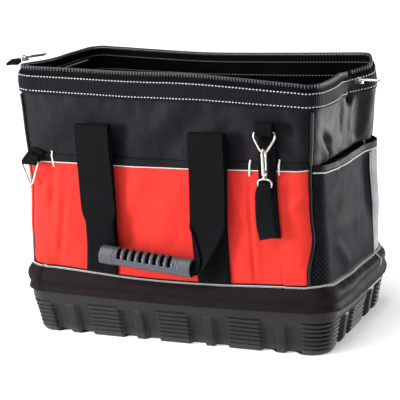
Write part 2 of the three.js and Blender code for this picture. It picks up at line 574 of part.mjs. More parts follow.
// hanging handle: from one fold down into the grip and up to the other fold
const HANG = [
  // x,     y,     z,   width, thick, ax,    ay,   az
  [-99.5, -119.9, 287.6, 50, 1.4,  1, 0, 0],
  [-99.4, -120.2, 296.0, 50, 1.4,  1, 0, 0],
  [-99.0, -122.4, 300.6, 50, 1.4,  1, 0, 0],
  [-98.4, -126.8, 302.0, 50, 1.4,  1, 0, 0],
  [-97.9, -130.9, 299.6, 50, 1.4,  1, 0, 0],
  [-97.6, -132.6, 293.0, 50, 1.4,  1, 0, 0],
  [-96.6, -134.6, 262.0, 50, 1.4,  1, 0, 0],
  [-95.2, -136.6, 230.0, 49.5, 1.4,  1, 0.02, 0],
  [-94.4, -138.6, 200.0, 46, 1.8,  1, 0.05, 0],
  [-94.8, -140.4, 182.0, 38, 2.8,  1, 0.12, 0],
  [-97.0, -141.8, 164.0, 28, 4.4,  1, 0.25, 0.1],
  [-101.8, -142.6, 148.0, 20, 5.2,  0.9, 0.3, 0.35],
  [-107.2, -143.0, 137.0, 17, 5.4,  0.55, 0.5, 0.7],
  [-107.0, -143.0, 130.6, 16, 5.4,  0.1, 0.4, 0.9],
  [-101.5, -143.0, 128.6, 16, 5.4,  0, 0.35, 0.94],
  [-90.0, -143.0, 127.6, 16, 5.4,  0, 0.3, 0.95],
  [-24.5, -143.0, 122.0, 16, 5.4,  0, 0.3, 0.95],
  [41.0, -143.0, 116.4, 16, 5.4,  0, 0.3, 0.95],
  [53.0, -143.0, 116.0, 16, 5.4,  0, 0.35, 0.94],
  [60.0, -143.0, 119.8, 17, 5.4,  -0.3, 0.45, 0.8],
  [64.5, -142.6, 131.0, 20, 5.2,  -0.8, 0.35, 0.4],
  [66.4, -141.8, 148.0, 28, 4.4,  -1, 0.2, 0.1],
  [67.6, -140.2, 170.0, 38, 2.8,  -1, 0.08, 0],
  [68.2, -138.4, 192.0, 45, 1.8,  -1, 0.0, 0],
  [68.4, -136.6, 224.0, 49.5, 1.4,  -1, 0, 0],
  [68.6, -134.6, 256.0, 50, 1.4,  -1, 0, 0],
  [68.2, -132.6, 286.0, 50, 1.4,  -1, 0, 0],
  [68.0, -130.9, 292.6, 50, 1.4,  -1, 0, 0],
  [67.8, -126.8, 295.2, 50, 1.4,  -1, 0, 0],
  [67.4, -122.4, 294.0, 50, 1.4,  -1, 0, 0],
  [67.1, -120.2, 290.4, 50, 1.4,  -1, 0, 0],
  [67.0, -119.9, 286.8, 50, 1.4,  -1, 0, 0],
];
const gripA = V(-88.7, -143.0, 127.48), gripB = V(45.0, -143.0, 116.05);
// a moulded tube with a row of finger slots cut through its upper front
function gripTube(a, b) {
  const n = 16, dir = b.clone().sub(a), len = dir.length(); dir.normalize();
  const prof = [ // distance from the end, outer radius
    [0, GRIP_RADIUS - 0.9], [1.2, GRIP_RADIUS], [len - 1.2, GRIP_RADIUS], [len, GRIP_RADIUS - 0.9],
  ];
  const pts = [new THREE.Vector2(GRIP_BORE, 0), ...prof.map((p) => new THREE.Vector2(p[1], p[0])), new THREE.Vector2(GRIP_BORE, len), new THREE.Vector2(GRIP_BORE, 0)];
  const g = new THREE.LatheGeometry(pts, n);
  g.deleteAttribute('normal'); g.deleteAttribute('uv');
  let body = toManifold(finish([...mergeVertices(g, 1e-4).attributes.position.array], [...mergeVertices(g, 1e-4).index.array]));
  for (let k = 0; k < 8; k++) {
    const y = 29.1 + k * 10.6;
    const cut = new THREE.BoxGeometry(10, 5.2, 17);
    cut.translate(0, y, 0);
    const c = new THREE.BoxGeometry(30, 5.2, 15); c.translate(GRIP_RADIUS + 3.0, y, 2.0);
    body = body.subtract(toManifold(c));
  }
  const out = fromManifold(body);
  // lathe axis +Y goes along the grip; its cut side (+X) turns to the upper front
  const upFront = V(0, -0.80, 0.60), z = upFront.clone().cross(dir).normalize();
  const x = dir.clone().cross(z).normalize();
  out.applyMatrix4(new THREE.Matrix4().makeBasis(x, dir, z).setPosition(a));
  return out;
}
function turned(geometry) {             // the rear handle is the front one turned about Z
  const g = geometry.clone(); g.rotateZ(Math.PI); return g;
}
const webbing = ribbon(HANG), grip = gripTube(gripA, gripB);
add('handle_webbing_front', webbing, WEBBING);
add('grip_front', grip, GRIP_PLASTIC);
add('handle_webbing_back', turned(webbing), WEBBING);
add('grip_back', turned(grip), GRIP_PLASTIC);

// ---------------------------------------------------------------- key keeper
const KX = 148.5;
{
  const a = stationOf('front', KX - KEEPER / 2), b = stationOf('front', KX + KEEPER / 2);
  add('keeper_strip', panel(a, b, 162, 290, 4.8, 6.2), WEBBING);
  // the loop at its top that holds the V ring
  const y0 = -117.6;
  const rows = [
    [KX, y0 - 1.5, 290.6], [KX + 0.2, y0 - 1.9, 304], [KX + 0.3, y0 - 3.6, 309.4], [KX + 0.4, y0 - 7.4, 311.4],
    [KX + 0.5, y0 - 11.4, 309.0], [KX + 0.5, y0 - 12.8, 303], [KX + 0.4, y0 - 12.4, 297.0], [KX + 0.4, y0 - 9.8, 294.0],
    [KX + 0.4, y0 - 6.6, 294.4], [KX + 0.4, y0 - 5.2, 297.6], [KX + 0.3, y0 - 5.0, 303.4],
  ].map((r) => [...r, 24.6, 1.3, 1, 0, 0]);
  add('keeper_loop', ribbon(rows), WEBBING);
  const ry = y0 - 8.9, top = 298.6;
  const ringPts = polyArc([V(KX - 15.6, ry, top), V(KX - 16.6, ry - 0.6, 292), V(KX - 3.4, ry - 5.4, 274.0), V(KX + 4.0, ry - 5.4, 274.0), V(KX + 17.4, ry - 0.6, 292), V(KX + 16.4, ry, top)], 3.2, 2);
  add('keeper_ring', rod(ringPts, 1.4, 6, true), NICKEL);
}
// snap hook: a shank and a curved nose in a fore-and-aft plane, closed by a
// sprung lever; the swivel eye below it carries the strap
const hookX = KX + 0.3, hookY = -131.5;
{
  const shank = [V(hookX, hookY - 6.0, 247.6), V(hookX, hookY - 6.2, 258), V(hookX, hookY - 6.0, 272)];
  const r = 5.6;
  for (let k = 1; k <= 6; k++) { const a = Math.PI * (1 - k / 6); shank.push(V(hookX, hookY - 0.4 + r * Math.cos(a), 272 + r * Math.sin(a) * 1.05)); }
  shank.push(V(hookX, hookY + 5.2, 266.5));
  const hook = toManifold(rod(shank, 1.75, 8));
  const body = new THREE.CylinderGeometry(3.6, 4.2, 6.4, 12); body.rotateX(Math.PI / 2); body.translate(hookX, hookY - 1.4, 245.0);
  const arm = rod([V(hookX, hookY - 6.2, 250.2), V(hookX, hookY - 1.4, 246.4)], 1.9, 8);
  const ear = new THREE.BoxGeometry(3.0, 5.0, 3.2); ear.translate(hookX, hookY + 2.2, 246.6);
  add('snap_hook', fromManifold(hook.add(toManifold(body)).add(toManifold(arm)).add(toManifold(ear))), NICKEL);
  const lever = rod([V(hookX, hookY + 4.6, 249.0), V(hookX, hookY + 5.0, 256), V(hookX, hookY + 5.2, 265.8)], 1.35, 8);
  add('hook_lever', lever, NICKEL);
  const eye = polyArc([V(KX - 9.2, hookY - 1.4, 228.6), V(KX - 10.4, hookY - 1.4, 236.4), V(KX - 3.4, hookY - 1.4, 243.2 - 4.1), V(KX + 3.6, hookY - 1.4, 243.2 - 4.1), V(KX + 11.0, hookY - 1.4, 236.4), V(KX + 10.0, hookY - 1.4, 228.6)], 3.0, 2);
  add('swivel_eye', rod(eye, 1.3, 6, true), NICKEL);
}
{
  // strap looped through the eye, hanging in front of the sewn strip and
  // turned a little towards the left, its end kicked to the right
  const y = hookY - 1.4;
  const rows = [
    [KX - 0.3, y + 3.2, 216.0, 19.0, 1.3, 0.96, -0.2, 0],
    [KX - 0.3, y + 3.6, 224.0, 19.0, 1.3, 0.98, -0.1, 0],
    [KX + 0.2, y + 3.4, 230.0, 15.6, 1.3, 1, 0, 0],
    [KX + 0.3, y + 0.4, 232.6, 15.0, 1.3, 1, 0, 0],
    [KX + 0.2, y - 3.0, 230.0, 15.6, 1.3, 1, 0, 0],
    [KX - 0.8, y - 4.0, 222.0, 20.0, 1.3, 0.95, 0.3, 0],
    [KX - 1.2, y - 4.4, 205.0, 23.0, 1.3, 0.93, 0.36, 0],
    [KX - 0.6, y - 5.0, 188.0, 24.6, 1.3, 0.95, 0.3, 0],
    [KX + 1.6, y - 6.4, 174.0, 24.8, 1.3, 0.97, 0.15, 0.12],
    [KX + 5.6, y - 8.6, 160.5, 24.8, 1.3, 0.93, 0.05, 0.36],
  ];
  add('keeper_strap', ribbon(rows), WEBBING);
}

// ---------------------------------------------------------------- side ring
{
  // webbing tab from the left end of the front pocket's edge
  const rows = [
    [-189.5, -119.6, 263.0], [-191.5, -121.0, 258.5], [-194.5, -123.6, 252.5], [-197.0, -125.4, 248.4], [-198.4, -127.8, 245.4],
    [-198.8, -131.0, 244.4], [-198.3, -133.4, 246.2], [-197.0, -133.6, 249.6], [-194.6, -130.8, 254.2], [-192.6, -127.6, 258.0],
  ].map((r) => [...r, 20.5, 1.4, 0.99, 0.0, -0.06]);
  add('ring_tab', ribbon(rows), WEBBING);
  const ry = -129.6;
  const tri = polyArc([V(-212.4, ry - 0.2, 248.4), V(-201.4, ry + 0.4, 216.4), V(-197.6, ry + 0.4, 216.2), V(-184.4, ry - 0.6, 248.4)], 3.0, 3);
  add('side_ring', rod(tri, 1.35, 6, true), NICKEL);
}

export default bag;
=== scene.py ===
import math

import bpy
import numpy as np
from mathutils import Matrix, Vector


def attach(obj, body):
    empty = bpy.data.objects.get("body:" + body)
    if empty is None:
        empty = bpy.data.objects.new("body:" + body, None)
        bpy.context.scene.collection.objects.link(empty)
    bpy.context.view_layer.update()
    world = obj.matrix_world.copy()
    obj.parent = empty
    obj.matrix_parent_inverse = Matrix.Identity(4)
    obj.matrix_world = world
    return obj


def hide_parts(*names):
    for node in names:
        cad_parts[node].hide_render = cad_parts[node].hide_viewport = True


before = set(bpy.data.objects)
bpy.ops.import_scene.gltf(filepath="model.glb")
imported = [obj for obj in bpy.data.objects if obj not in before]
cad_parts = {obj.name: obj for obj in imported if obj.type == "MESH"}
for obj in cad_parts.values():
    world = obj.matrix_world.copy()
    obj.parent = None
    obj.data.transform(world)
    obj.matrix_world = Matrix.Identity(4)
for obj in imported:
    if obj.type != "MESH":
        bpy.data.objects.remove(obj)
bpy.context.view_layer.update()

MM = 0.001

# ------------------------------------------------------------------ camera
AZ, EL, ROLL = math.radians(25.0), math.radians(13.8), math.radians(-3.5)
back = Vector((math.sin(AZ) * math.cos(EL), -math.cos(AZ) * math.cos(EL), math.sin(EL)))
right0 = Vector((math.cos(AZ), math.sin(AZ), 0))
up0 = back.cross(right0)
right = right0 * math.cos(ROLL) + up0 * math.sin(ROLL)
up = -right0 * math.sin(ROLL) + up0 * math.cos(ROLL)
cam_data = bpy.data.cameras.new("camera")
cam = bpy.data.objects.new("camera", cam_data)
bpy.context.scene.collection.objects.link(cam)
cam.matrix_world = Matrix.Translation(Vector((0, 0, 0.190)) + back * 2.0) @ Matrix((right, up, back)).transposed().to_4x4()
cam_data.lens, cam_data.sensor_width = 128.4, 36.0
cam_data.shift_x, cam_data.shift_y = -0.0075, -0.0345
cam_data.clip_start, cam_data.clip_end = 0.05, 100
bpy.context.scene.camera = cam
bpy.context.scene.view_settings.view_transform = "Standard"

# ------------------------------------------------------------------ body surface
# z, half_w, half_d, corner_r, front, back, right, left
BODY = [
    [5.5, 199.0, 104.0, 20, 0.0, 0.0, 0.0, 0.0],
    [20, 208.5, 111.0, 22, 0.0, 0.0, 0.0, 0.0],
    [45, 217.5, 118.0, 24, 0.0, 0.0, 0.0, 0.0],
    [66, 222.5, 122.0, 26, 0.0, 0.0, 0.0, 0.0],
    [72, 226.0, 125.5, 28, 0.0, 0.0, 0.0, 0.0],
    [88, 227.0, 126.5, 28, 0.5, 0.5, 0.5, 0.5],
    [104, 218.5, 122.0, 25, 1.0, 1.0, 0.0, 0.0],
    [138, 213.0, 119.0, 24, 2.0, 2.0, 0.0, 0.5],
    [180, 208.0, 117.5, 23, 2.5, 2.5, -1.5, 0.5],
    [215, 206.5, 116.5, 23, 2.0, 2.0, -2.0, 0.0],
    [250, 207.0, 115.5, 23, 1.0, 1.0, -3.0, -1.0],
    [300, 210.0, 112.5, 24, -1.5, -1.0, -6.0, -3.0],
    [334, 214.0, 111.0, 25, -1.0, -1.0, -9.0, -3.0],
    [352, 214.5, 110.5, 25, 0.0, 0.0, -10.0, -2.0],
    [368, 213.5, 110.0, 25, 0.0, 0.0, -10.0, -2.0],
]
# z, front_l, front, front_r, right, right_rear, back_r, back, back_l, left
LIFT = [
    [0, 0, 0, 0, 0, 0, 0, 0, 0, 0],
    [20, 0, 0, 0, 0, 0, 0, 0, 0, 0],
    [66, 0, 0, 0, 0, 0, 0, 0, 0, 0],
    [104, -2, -15, -6, -17, -21, -14, -13, -2, -12],
    [180, 1, -5, 0, -8, -10, -6, -5, 1, -4],
    [250, 0, -2, 2, -5, -8, -6, -2, 0, -3],
    [300, 5, 0, -4, -7, -10, -4, -2, 2, 1],
    [334, 11.5, 2.5, -6.5, -10, -15, -4, -4, 3, 4],
    [352, 11, 3.8, -8.4, -12, -18.5, -4, -5.4, 3.8, 5.4],
    [368, 10.5, 3, -12, -13.5, -20, -4, -6, 4, 6],
]
# z, how far the front left and the rear right corner lean outwards
FLARE = [
    [104, 0, 0], [138, 3, 4.5], [180, 5, 8.5], [250, 7, 9], [300, 9.5, 12.5], [334, 12, 13.5], [352, 12, 12], [368, 6.5, 9],
]
BASE = [  # z, half_w, half_d, corner_r of the moulded base's outer face
    [0, 214.0, 118.0, 25], [3, 217.5, 120.3, 27], [8, 219.5, 121.2, 28], [17, 221.0, 122.3, 29],
    [31, 223.8, 124.5, 31], [45, 226.8, 127.0, 32], [48, 228.2, 127.7, 32], [64, 228.8, 128.0, 32],
]
HEM = [62, 58, 62, 51, 48.5, 51, 58, 62, 54]
ZS = np.arange(-5.0, 402.0, 1.0)


def smooth_table(rows, sigma, cols=None):
    a = np.array(rows, float)
    k = np.arange(-14, 15)
    g = np.exp(-0.5 * (k / sigma) ** 2)
    g /= g.sum()
    return np.array([np.convolve(np.pad(np.interp(ZS, a[:, 0], a[:, c]), 14, mode="edge"), g, "valid")
                     for c in range(1, a.shape[1])])


T_BODY = smooth_table(BODY, 3.2)
T_LIFT = smooth_table(LIFT, 9.0)
T_BASE = smooth_table(BASE, 1.0)
T_FLARE = smooth_table(FLARE, 8.0)
NS = 52
LIFT_AT = np.array([-2, 6, 14, 18.52, 20.68, 24, 32, 40, 45, 50], float)
START = dict(front=0, cfr=12, right=16, cbr=22, back=26, cbl=38, left=42, cfl=48)
COUNT = dict(front=12, cfr=4, right=6, cbr=4, back=12, cbl=4, left=6, cfl=4)
PERIM = 1252.0
S_KNOT = np.array([0, 12, 16, 22, 26, 38, 42, 48, 52], float)
U_KNOT = np.array([-184, 184, 220, 406, 442, 810, 846, 1032, 1068], float)
S_ALL = np.concatenate([S_KNOT[:-1] - 52, S_KNOT, S_KNOT[1:] + 52])
U_ALL = np.concatenate([U_KNOT[:-1] - PERIM, U_KNOT, U_KNOT[1:] + PERIM])


def u_of(s):
    return np.interp(s, S_ALL, U_ALL)


def s_of(u):
    return np.interp(u, U_ALL, S_ALL)


def at(wall, t):
    return START[wall] + t * COUNT[wall]


def look(table, z):
    i = np.clip(np.asarray(z, float) + 5.0, 0, len(ZS) - 1.001)
    j = i.astype(int)
    f = i - j
    return table[..., j] * (1 - f) + table[..., j + 1] * f


def around(table_cols, s, z=None, rows=None):
    """Value round the bag from columns given at LIFT_AT, smooth between them."""
    s = np.mod(s, NS)
    s = np.where(s > 50, s - NS, s)
    k = np.clip(np.searchsorted(LIFT_AT, s, side="left"), 1, 9)
    t = (s - LIFT_AT[k - 1]) / (LIFT_AT[k] - LIFT_AT[k - 1])
    t = t * t * (3 - 2 * t)
    if rows is None:
        a, b = table_cols[(k - 1) % 9], table_cols[k % 9]
    else:
        i = np.clip(z + 5.0, 0, len(ZS) - 1.001)
        j = i.astype(int)
        f = i - j
        a = rows[(k - 1) % 9, j] * (1 - f) + rows[(k - 1) % 9, j + 1] * f
        b = rows[k % 9, j] * (1 - f) + rows[k % 9, j + 1] * f
    return a + (b - a) * t


def plan(s, w, d, r, ex, ey, bows):
    """x, y of station s on a rounded rectangle, with a bow for each wall."""
    s = np.mod(s, NS)
    x, y = np.zeros_like(s), np.zeros_like(s)
    bf, bb, br, bl = bows

    def part(name):
        a, n = START[name], COUNT[name]
        m = (s >= a) & (s < a + n)
        return m, (s[m] - a) / n
    m, t = part("front"); x[m] = -ex[m] + 2 * ex[m] * t; y[m] = -(d[m] + bf[m] * np.sin(np.pi * t) ** 2)
    m, t = part("right"); y[m] = -ey[m] + 2 * ey[m] * t; x[m] = w[m] + br[m] * np.sin(np.pi * t ** 1.9) ** 2
    m, t = part("back"); x[m] = ex[m] - 2 * ex[m] * t; y[m] = d[m] + bb[m] * np.sin(np.pi * t) ** 2
    m, t = part("left"); y[m] = ey[m] - 2 * ey[m] * t; x[m] = -(w[m] + bl[m] * np.sin(np.pi * t) ** 2)
    for name, cx, cy, a0 in (("cfr", 1, -1, -90), ("cbr", 1, 1, 0), ("cbl", -1, 1, 90), ("cfl", -1, -1, 180)):
        m, t = part(name)
        a = np.radians(a0 + 90 * t)
        x[m] = cx * ex[m] + r[m] * np.cos(a)
        y[m] = cy * ey[m] + r[m] * np.sin(a)
    return x, y


def smoothstep(x):
    x = np.clip(x, 0, 1)
    return x * x * (3 - 2 * x)


def value_noise(U, Z, lu, lz, seed, shear=0.0):
    nu = max(4, int(round(PERIM / lu)))
    g = np.random.default_rng(seed).standard_normal((nu, 80))
    x = (np.mod(U + shear * Z, PERIM)) / PERIM * nu
    z = (np.asarray(Z) + 60.0) / lz
    i, j = np.floor(x).astype(int), np.floor(z).astype(int)
    fx, fz = x - i, z - j
    fx, fz = fx * fx * fx * (fx * (fx * 6 - 15) + 10), fz * fz * fz * (fz * (fz * 6 - 15) + 10)
    j = np.clip(j, 0, 78)
    a, b = g[i % nu, j], g[(i + 1) % nu, j]
    c, d = g[i % nu, j + 1], g[(i + 1) % nu, j + 1]
    return (a + (b - a) * fx) * (1 - fz) + (c + (d - c) * fx) * fz


def du(a, b):
    return np.mod(a - b + PERIM / 2, PERIM) - PERIM / 2


def fold(U, Z, a, b, amp, width, kind="ridge"):
    px, pz = du(U, a[0]), Z - a[1]
    vx, vz = du(b[0], a[0]), b[1] - a[1]
    L = math.hypot(vx, vz)
    tx, tz = vx / L, vz / L
    along = (px * tx + pz * tz) / L
    perp = (px * tz - pz * tx) / width
    taper = smoothstep((along + 0.2) / 0.4) * smoothstep((1.2 - along) / 0.4)
    if kind == "ridge":
        h = np.exp(-perp ** 2)
    elif kind == "step":
        h = -perp * np.exp(-perp ** 2) * 2.33
    else:  # crease: a sharp valley between two soft shoulders
        h = -np.exp(-(np.abs(perp) ** 1.3) * 1.6) + 0.45 * np.exp(-((np.abs(perp) - 1.9) / 0.9) ** 2)
    return amp * taper * h


def u_right(y):
    return 220 + 93 + y


def u_back(x):
    return 442 + 184 - x


def u_left(y):
    return 846 + 93 - y


FOLDS = [
    # front, upper cloth
    ((34, 338), (-60, 264), 4.2, 21, "ridge"), ((60, 318), (-6, 262), -3.0, 17, "ridge"),
    ((-118, 330), (-176, 282), 2.2, 24, "ridge"), ((-150, 268), (-70, 262), -1.6, 14, "ridge"),
    ((110, 330), (150, 268), 1.8, 20, "ridge"), ((168, 322), (190, 272), 1.7, 12, "step"),
    ((-30, 262), (28, 270), 1.4, 9, "ridge"), ((-8, 330), (-24, 300), -1.4, 12, "ridge"),
    ((75, 322), (96, 300), -1.6, 14, "ridge"), ((180, 262), (150, 290), 1.2, 10, "ridge"),
    # front, red cloth
    ((-164, 240), (-169, 184), 1.5, 4.6, "crease"), ((-150, 194), (-158, 118), 1.3, 4.2, "crease"),
    ((-186, 200), (-160, 224), 1.0, 7, "ridge"), ((-150, 160), (-132, 142), 0.9, 6, "ridge"),
    ((-30, 232), (-64, 186), 1.6, 15, "ridge"), ((10, 206), (-10, 150), 1.1, 16, "ridge"),
    ((-60, 168), (-30, 122), -1.0, 12, "ridge"),
    ((122.5, 226), (121, 104), 1.0, 2.8, "crease"), ((165, 128), (164.5, 100), 0.9, 3, "crease"),
    ((178, 196), (199, 218), 1.5, 6, "ridge"), ((172, 158), (190, 128), 1.1, 9, "ridge"),
    ((98, 232), (112, 186), 1.2, 8, "ridge"), ((104, 150), (114, 112), 0.9, 7, "ridge"),
    ((168, 108), (198, 104), 2.0, 5, "ridge"), ((-200, 118), (-170, 108), 2.0, 6, "ridge"),
    # right side, upper cloth
    ((u_right(-77), 290), (u_right(-42), 243), 6.0, 6.5, "crease"),
    ((u_right(-38), 306), (u_right(-82), 250), 2.8, 8, "ridge"),
    ((u_right(24), 322), (u_right(-18), 250), 3.6, 12, "ridge"),
    ((u_right(56), 330), (u_right(36), 250), 3.0, 9, "ridge"),
    ((u_right(2), 330), (u_right(-10), 268), -3.2, 9, "ridge"),
    ((u_right(74), 320), (u_right(66), 262), -2.4, 9, "ridge"),
    ((u_right(50), 368), (u_right(46), 320), -9.0, 6.5, "ridge"),
    ((u_right(28), 350), (u_right(12), 322), 2.5, 8, "ridge"),
    ((u_right(70), 352), (u_right(82), 326), 2.2, 9, "ridge"),
    # left side
    ((u_left(-60), 326), (u_left(-20), 262), 3.2, 11, "ridge"), ((u_left(60), 330), (u_left(26), 262), 3.4, 13, "ridge"),
    ((u_left(-4), 320), (u_left(6), 254), -3.2, 10, "ridge"), ((u_left(46), 290), (u_left(76), 248), 4.4, 7, "crease"),
    # back, upper and red cloth
    ((u_back(-40), 334), (u_back(40), 264), 3.6, 20, "ridge"), ((u_back(-70), 318), (u_back(-4), 264), -2.6, 16, "ridge"),
    ((u_back(140), 330), (u_back(170), 270), 2.4, 18, "ridge"), ((u_back(-150), 328), (u_back(-180), 276), 2.2, 16, "ridge"),
    ((u_back(160), 240), (u_back(164), 176), 1.4, 4.6, "crease"), ((u_back(-120), 230), (u_back(-124), 110), 1.0, 3.2, "crease"),
    ((u_back(20), 232), (u_back(52), 184), 1.5, 15, "ridge"), ((u_back(-10), 190), (u_back(14), 132), 1.2, 14, "ridge"),
    ((u_back(-150), 190), (u_back(-186), 160), 1.3, 9, "ridge"), ((u_back(190), 118), (u_back(160), 108), 1.8, 6, "ridge"),
    # side pockets
    ((u_right(36), 214), (u_right(0), 150), 1.6, 10, "ridge"), ((u_right(-2), 238), (u_right(-52), 196), 1.6, 9, "ridge"),
    ((u_right(60), 232), (u_right(58), 160), -1.6, 10, "ridge"), ((u_right(-70), 150), (u_right(-30), 118), 1.4, 9, "ridge"),
    ((u_left(-30), 228), (u_left(-46), 150), 1.6, 10, "ridge"), ((u_left(36), 226), (u_left(12), 140), 1.7, 11, "ridge"),
    ((u_left(70), 170), (u_left(40), 116), -1.5, 9, "ridge"),
]


FOLDS = [(a, b, amp * (1.9 if max(a[1], b[1]) < 246 else 1.15), width, kind) for a, b, amp, width, kind in FOLDS]


def wrinkle(s, z):
    """How far the cloth stands out of its smooth surface, in mm."""
    s, z = np.broadcast_arrays(np.asarray(s, float), np.asarray(z, float))
    U = u_of(s)
    q_ = np.mod(s, NS)
    m = smoothstep((z - 62) / 46) * (1 - 0.75 * smoothstep((z - 322) / 26))
    low = 1 - smoothstep((z - 236) / 24)          # the pockets are smoother than the cloth above
    n = 1.25 * value_noise(U, z, 88, 66, 3) + 0.75 * value_noise(U, z, 44, 58, 5, 0.55)
    n += 0.22 * value_noise(U, z, 19, 27, 9, -0.4)
    n *= 1 - 0.30 * low
    for a, b, amp, width, kind in FOLDS:
        near = (np.abs(du(U, (a[0] + b[0]) / 2)) < abs(a[0] - b[0]) + 5 * width + 30)
        if near.any():
            n = n + np.where(near, fold(U, z, a, b, amp, width, kind), 0)
    # short gathers under and over the sewn lines
    n += 0.22 * np.sin(U / 4.1 + 1.4 * value_noise(U, z, 30, 40, 21)) * np.exp(-((z - 262) / 7) ** 2)
    n += 0.35 * np.sin(U / 3.3 + 1.6 * value_noise(U, z, 26, 40, 22)) * np.exp(-((z - 325) / 8) ** 2)
    side = smoothstep((q_ - 14.0) / 0.8) * (1 - smoothstep((q_ - 23.2) / 0.8))
    edge = np.exp(-((z - 247) / 9.0) ** 2)
    return n * m * (1 - 0.92 * side * edge)


def surf(s, z, off=0.0):
    s, z, off = (np.array(a, float) for a in np.broadcast_arrays(s, z, off))
    low = smoothstep((168 - z) / 60) * smoothstep((z - 66) / 30)
    q = np.mod(s, NS)
    s = s + low * (0.5 * np.exp(-((q - 50) / 1.3) ** 2) - 1.35 * np.exp(-((q - 14) / 2.1) ** 2))
    w0, d0, r0, bf, bb, br, bl = look(T_BODY, z)
    ex, ey = w0 - r0, d0 - r0
    x, y = plan(s, w0 + off, d0 + off, np.maximum(r0 + off, 0.5), ex, ey, (bf, bb, br, bl))
    fl, fr = look(T_FLARE, z)
    q = np.mod(s, NS)
    x = x + fr * np.where(q < 24, smoothstep((q - 20.8) / 1.2), 1 - smoothstep((q - 26) / 3))
    x = x - fl * np.where(q >= 44, smoothstep((q - 46.2) / 1.8), 1 - smoothstep(q / 2.6))
    return np.stack([x, y, z + around(None, s, z, T_LIFT)], -1)


def S(s, z, off=0.0):
    return surf(s, z, off + wrinkle(s, z))


def shoulder(s, z, off=0.0):
    s, z, off = (np.array(a, float) for a in np.broadcast_arrays(s, z, off))
    w0, d0, r0 = look(T_BASE, z)
    zero = np.zeros_like(s)
    x, y = plan(s, w0 + off, d0 + off, r0 + off, w0 - r0, d0 - r0, (zero, zero, zero, zero))
    return np.stack([x, y, z], -1)


def normal_at(s, z, off=0.0):
    e = 0.02
    a = S(s + e, z, off) - S(s - e, z, off)
    b = S(s, np.asarray(z) + 1.0, off) - S(s, np.asarray(z) - 1.0, off)
    n = np.cross(a, b)
    return n / np.linalg.norm(n, axis=-1, keepdims=True)


def station_of(side, v, z=200.0):
    w0, d0, r0 = look(T_BODY, z)[:3]
    e = (w0 - r0) if side in ("front", "back") else (d0 - r0)
    t = (v + e) / (2 * e) if side in ("front", "right") else (e - v) / (2 * e)
    return at(side, float(t))


# ------------------------------------------------------------------ materials
def srgb(h):
    c = [(h >> 16 & 255) / 255, (h >> 8 & 255) / 255, (h & 255) / 255]
    return tuple(x / 12.92 if x <= 0.04045 else ((x + 0.055) / 1.055) ** 2.4 for x in c) + (1.0,)


class Mat:
    """A Principled material with a few short ways to add nodes."""

    def __init__(self, name, rough=0.6, metallic=0.0, specular=0.5, sheen=0.0, sheen_rough=0.5, coat=0.0, coat_rough=0.1):
        self.m = bpy.data.materials.new(name)
        self.m.use_nodes = True
        self.t = self.m.node_tree
        self.t.nodes.clear()
        self.out = self.t.nodes.new("ShaderNodeOutputMaterial")
        self.b = self.t.nodes.new("ShaderNodeBsdfPrincipled")
        self.t.links.new(self.b.outputs[0], self.out.inputs[0])
        for k, v in (("Roughness", rough), ("Metallic", metallic), ("Specular IOR Level", specular), ("Sheen Weight", sheen),
                     ("Sheen Roughness", sheen_rough), ("Coat Weight", coat), ("Coat Roughness", coat_rough)):
            self.b.inputs[k].default_value = v

    def put(self, socket, value):
        if isinstance(value, bpy.types.NodeSocket):
            self.t.links.new(value, socket)
        elif value is not None:
            socket.default_value = value

    def node(self, kind, out=0, props=None, **inputs):
        n = self.t.nodes.new(kind)
        for k, v in (props or {}).items():
            setattr(n, k, v)
        for k, v in inputs.items():
            self.put(n.inputs[int(k[1:])] if k[0] == "i" and k[1:].isdigit() else n.inputs[k.replace("_", " ")], v)
        return n.outputs[out]

    def math(self, op, a, b=None, c=None, clamp=False):
        return self.node("ShaderNodeMath", props={"operation": op, "use_clamp": clamp}, i0=a, i1=b, i2=c)

    def uv(self):
        uv = self.node("ShaderNodeUVMap", props={"uv_map": "cloth"})
        n = self.t.nodes.new("ShaderNodeSeparateXYZ")
        self.put(n.inputs[0], uv)
        return uv, n.outputs[0], n.outputs[1]

    def place(self):
        return self.node("ShaderNodeTexCoord", out=3)

    def noise(self, vector, scale, detail=3.0, rough=0.5, distortion=0.0):
        return self.node("ShaderNodeTexNoise", Vector=vector, Scale=scale, Detail=detail, Roughness=rough, Distortion=distortion)

    def ramp(self, fac, stops):
        n = self.t.nodes.new("ShaderNodeValToRGB")
        self.put(n.inputs[0], fac)
        e = n.color_ramp.elements
        while len(e) < len(stops):
            e.new(0.5)
        for i, (p, c) in enumerate(stops):
            e[i].position = p
            e[i].color = c if len(c) == 4 else (*c, 1.0)
        return n.outputs[0]

    def mix(self, fac, a, b, kind="MIX"):
        n = self.t.nodes.new("ShaderNodeMix")
        n.data_type, n.blend_type = "RGBA", kind
        self.put(n.inputs[0], fac)
        self.put(n.inputs[6], a)
        self.put(n.inputs[7], b)
        return n.outputs[2]

    def colour(self, value):
        self.put(self.b.inputs["Base Color"], value)

    def rough(self, value):
        self.put(self.b.inputs["Roughness"], value)

    def bump(self, *layers):
        """layers of (height socket, distance in metres, strength)"""
        last = None
        for height, distance, strength in layers:
            n = self.t.nodes.new("ShaderNodeBump")
            n.inputs["Strength"].default_value = strength
            n.inputs["Distance"].default_value = distance
            self.put(n.inputs["Height"], height)
            if last is not None:
                self.put(n.inputs["Normal"], last)
            last = n.outputs[0]
        self.put(self.b.inputs["Normal"], last)


def scaled(c, k):
    return (min(1, c[0] * k), min(1, c[1] * k), min(1, c[2] * k), 1.0)


def wave(m, x, pitch, phase=0.0):
    """sine of a length in metres with that pitch"""
    return m.math("SINE", m.math("MULTIPLY_ADD", x, 2 * math.pi / pitch, phase))


